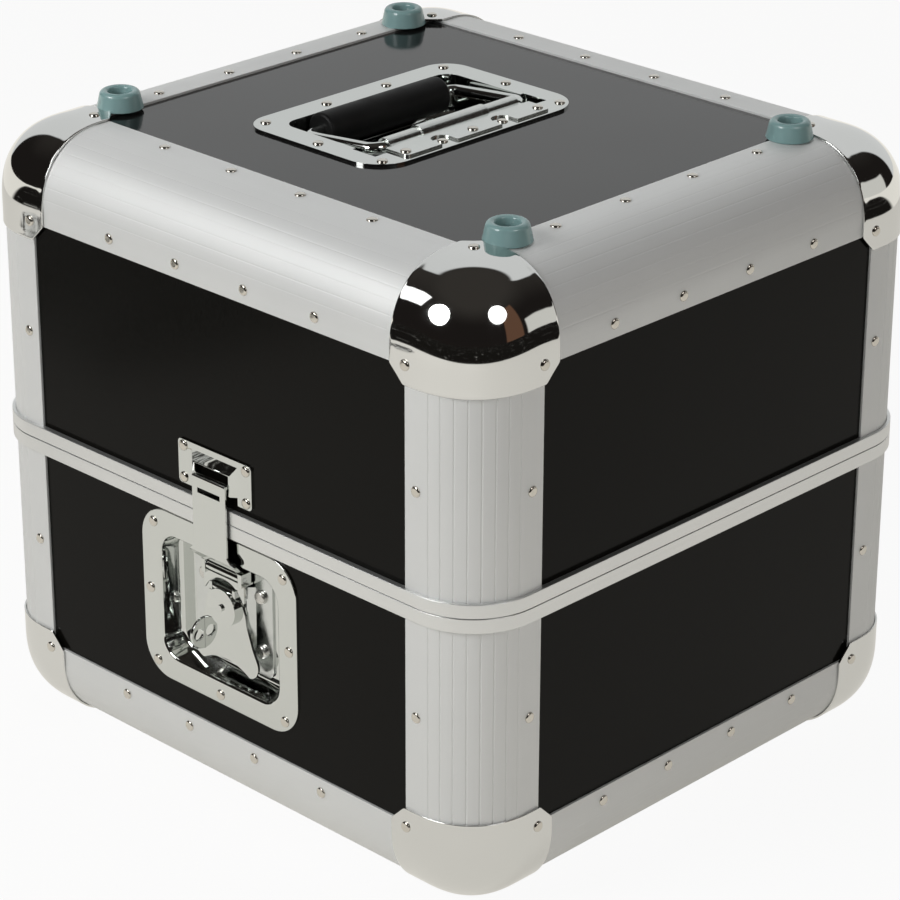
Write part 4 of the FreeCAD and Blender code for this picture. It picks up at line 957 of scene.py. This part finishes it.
def island_boxes(node):
    """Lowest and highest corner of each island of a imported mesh, as (n, 3) twice, in mm."""
    grid = bmesh.new()
    grid.from_mesh(frame["nodes"][node].data)
    bmesh.ops.remove_doubles(grid, verts=grid.verts, dist=MERGE_DISTANCE)
    left = set(grid.verts)
    boxes = []
    while left:
        island = set()
        to_visit = [left.pop()]
        while to_visit:
            vertex = to_visit.pop()
            island.add(vertex)
            for link in vertex.link_edges:
                other = link.other_vert(vertex)
                if other in left:
                    left.remove(other)
                    to_visit.append(other)
        places = np.array([vertex.co for vertex in island]) / MM
        boxes.append((places.min(0), places.max(0)))
    grid.free()
    return np.array(boxes)


def turned_rivet(low, high, head_height):
    """Rivet in its box: the outline goes round its axis, with the head on the outer end.

    A countersunk rivet under a ball corner sits a hair below the sheet's face.
    """
    size = high - low
    middle = (low + high) / 2
    centre = np.array([0, 0, (FOOT_PLANE + TOP_PLANE) / 2])
    axis = np.zeros(3)
    # the box is square across the rivet
    unlike = np.abs(np.roll(size, -1) - np.roll(size, 1))
    along = int(np.argmin(unlike))
    axis[along] = np.sign(middle[along] - centre[along])
    radius = np.delete(size, along).max() / 2
    outline = np.concatenate([RIVET_HEAD * [radius, head_height],
                              [(RIVET_SHANK * radius, 0),
                               (RIVET_SHANK * radius, head_height - size[along]),
                               (0, head_height - size[along])]])
    across = np.roll(np.abs(axis), 1)
    other = np.cross(axis, across)
    sink = FLUSH_SINK if size[along] < FLUSH_LENGTH else 0
    seat = middle + axis * (size[along] / 2 - head_height - sink)
    angle = np.linspace(0, 2 * math.pi, RIVET_TURNS, endpoint=False)[:, None, None]
    r = outline[:, :1]
    points = seat + r * np.cos(angle) * across + r * np.sin(angle) * other + outline[:, 1:] * axis
    return points, grid_faces(RIVET_TURNS, len(outline), wrap_rows=True)


for half, _ in HALVES:
    rivets = [turned_rivet(low, high, RIVET_HEAD_HEIGHT)
              for low, high in island_boxes(half + "_rivets")]
    piece_from(half + "_rivets_turned", rivets, rivet_steel, half + "_rivets")
    print(len(rivets), "rivets")

# %% [markdown]
# ## Solids that keep their shape
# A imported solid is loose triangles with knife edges. Real pressed and extruded metal catches a
# thin line of light on each edge. A copy of the solid is merged, its flat faces are joined again,
# and a small bevel with smooth shading gives that line. The copy then stands for the solid.

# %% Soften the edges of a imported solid
COPLANAR_DEG = 0.6
SHARP_DEG = 28
BEVEL_DEG = 40


def keep(node, material, bevel=0.0, flat=False):
    """Merged copy of a solid, smooth or flat, with a bevel in mm. It stands for the solid."""
    mesh = frame["nodes"][node].data.copy()
    mesh.name = node + "_soft"
    grid = bmesh.new()
    grid.from_mesh(mesh)
    bmesh.ops.remove_doubles(grid, verts=grid.verts, dist=MERGE_DISTANCE)
    bmesh.ops.dissolve_limit(grid, angle_limit=math.radians(COPLANAR_DEG), verts=grid.verts,
                             edges=grid.edges)
    grid.to_mesh(mesh)
    grid.free()
    mesh.materials.clear()
    mesh.materials.append(material)
    if flat:
        mesh.shade_flat()
    else:
        mesh.shade_smooth()
        mesh.set_sharp_from_angle(angle=math.radians(SHARP_DEG))
    piece = bpy.data.objects.new(node + "_soft", mesh)
    bpy.context.collection.objects.link(piece)
    if bevel:
        tool = piece.modifiers.new("edge", "BEVEL")
        tool.width = bevel * MM
        tool.segments = 2
        tool.limit_method = "ANGLE"
        tool.angle_limit = math.radians(BEVEL_DEG)
        tool.harden_normals = True
    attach(piece, BODY_OF[node])
    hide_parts(node)
    return piece


# %% [markdown]
# Panels are cut flat, so they are shaded flat and need no bevel: profiles cover their edges. The
# closing profiles run round the mouth as one bent bar each, and the foam pads are the only soft
# pieces of the case.

# %% Panels, pads and closing profiles
for half, end in HALVES:
    for side in SIDES:
        keep("%s_%s_panel" % (half, side), side_laminate_painted_shade, flat=True)
    keep(half + "_closing_profile", profile["ring"], 0.35)
    keep("%s_%s_pad" % (half, end), foam_finish, 0.5)
keep("base_bottom_panel", side_laminate_painted_shade, flat=True)
keep("lid_top_panel", top_laminate, flat=True)
print("panels and closing profiles are dressed")

# %% [markdown]
# The latch's plates are punched and bent, the handle is bent wire with a moulded grip, and both
# are exact enough as solids, since their forms are edges and bends. A bevel only takes material
# away, so a piece that moves has as much room as its solid has.

# %% Latches, handle and foot screws, with each bevel in millimetres
for side in ("front", "back"):
    keep("latch_guide_" + side, plate_steel, 0.3)
    keep("latch_screws_" + side, screw_steel, 0.2)
    keep("latch_rotor_" + side, latch_chrome, 0.15)
    keep("latch_wing_" + side, latch_chrome, 0.35)
    keep("latch_wing_pin_" + side, plate_steel, 0.1)
    keep("latch_padlock_ring_" + side, latch_chrome, 0.4)
    keep("latch_carriage_" + side, latch_chrome, 0.25)
    keep("latch_hook_pin_" + side, plate_steel, 0.1)
    keep("latch_hook_" + side, latch_chrome, 0.3)
    keep("latch_keeper_" + side, latch_chrome, 0.25)
keep("handle_dish", handle_chrome, 0.4)
keep("handle_cover", cover_steel, 0.25)
keep("handle_bail", handle_chrome)
keep("handle_grip", grip_rubber)
keep("handle_spring", spring_steel)
keep("lid_foot_screws", screw_steel, 0.2)
print("fittings are dressed")

# %% [markdown]
# ## Sizes and the last line
# The dressed case must stay the size of the imported one, so its box is printed.

# %% Measure the dressed box and finish
bpy.context.scene.view_settings.view_transform = "Standard"
low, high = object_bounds()
print("dressed box", [round(v, 4) for v in low], [round(v, 4) for v in high])
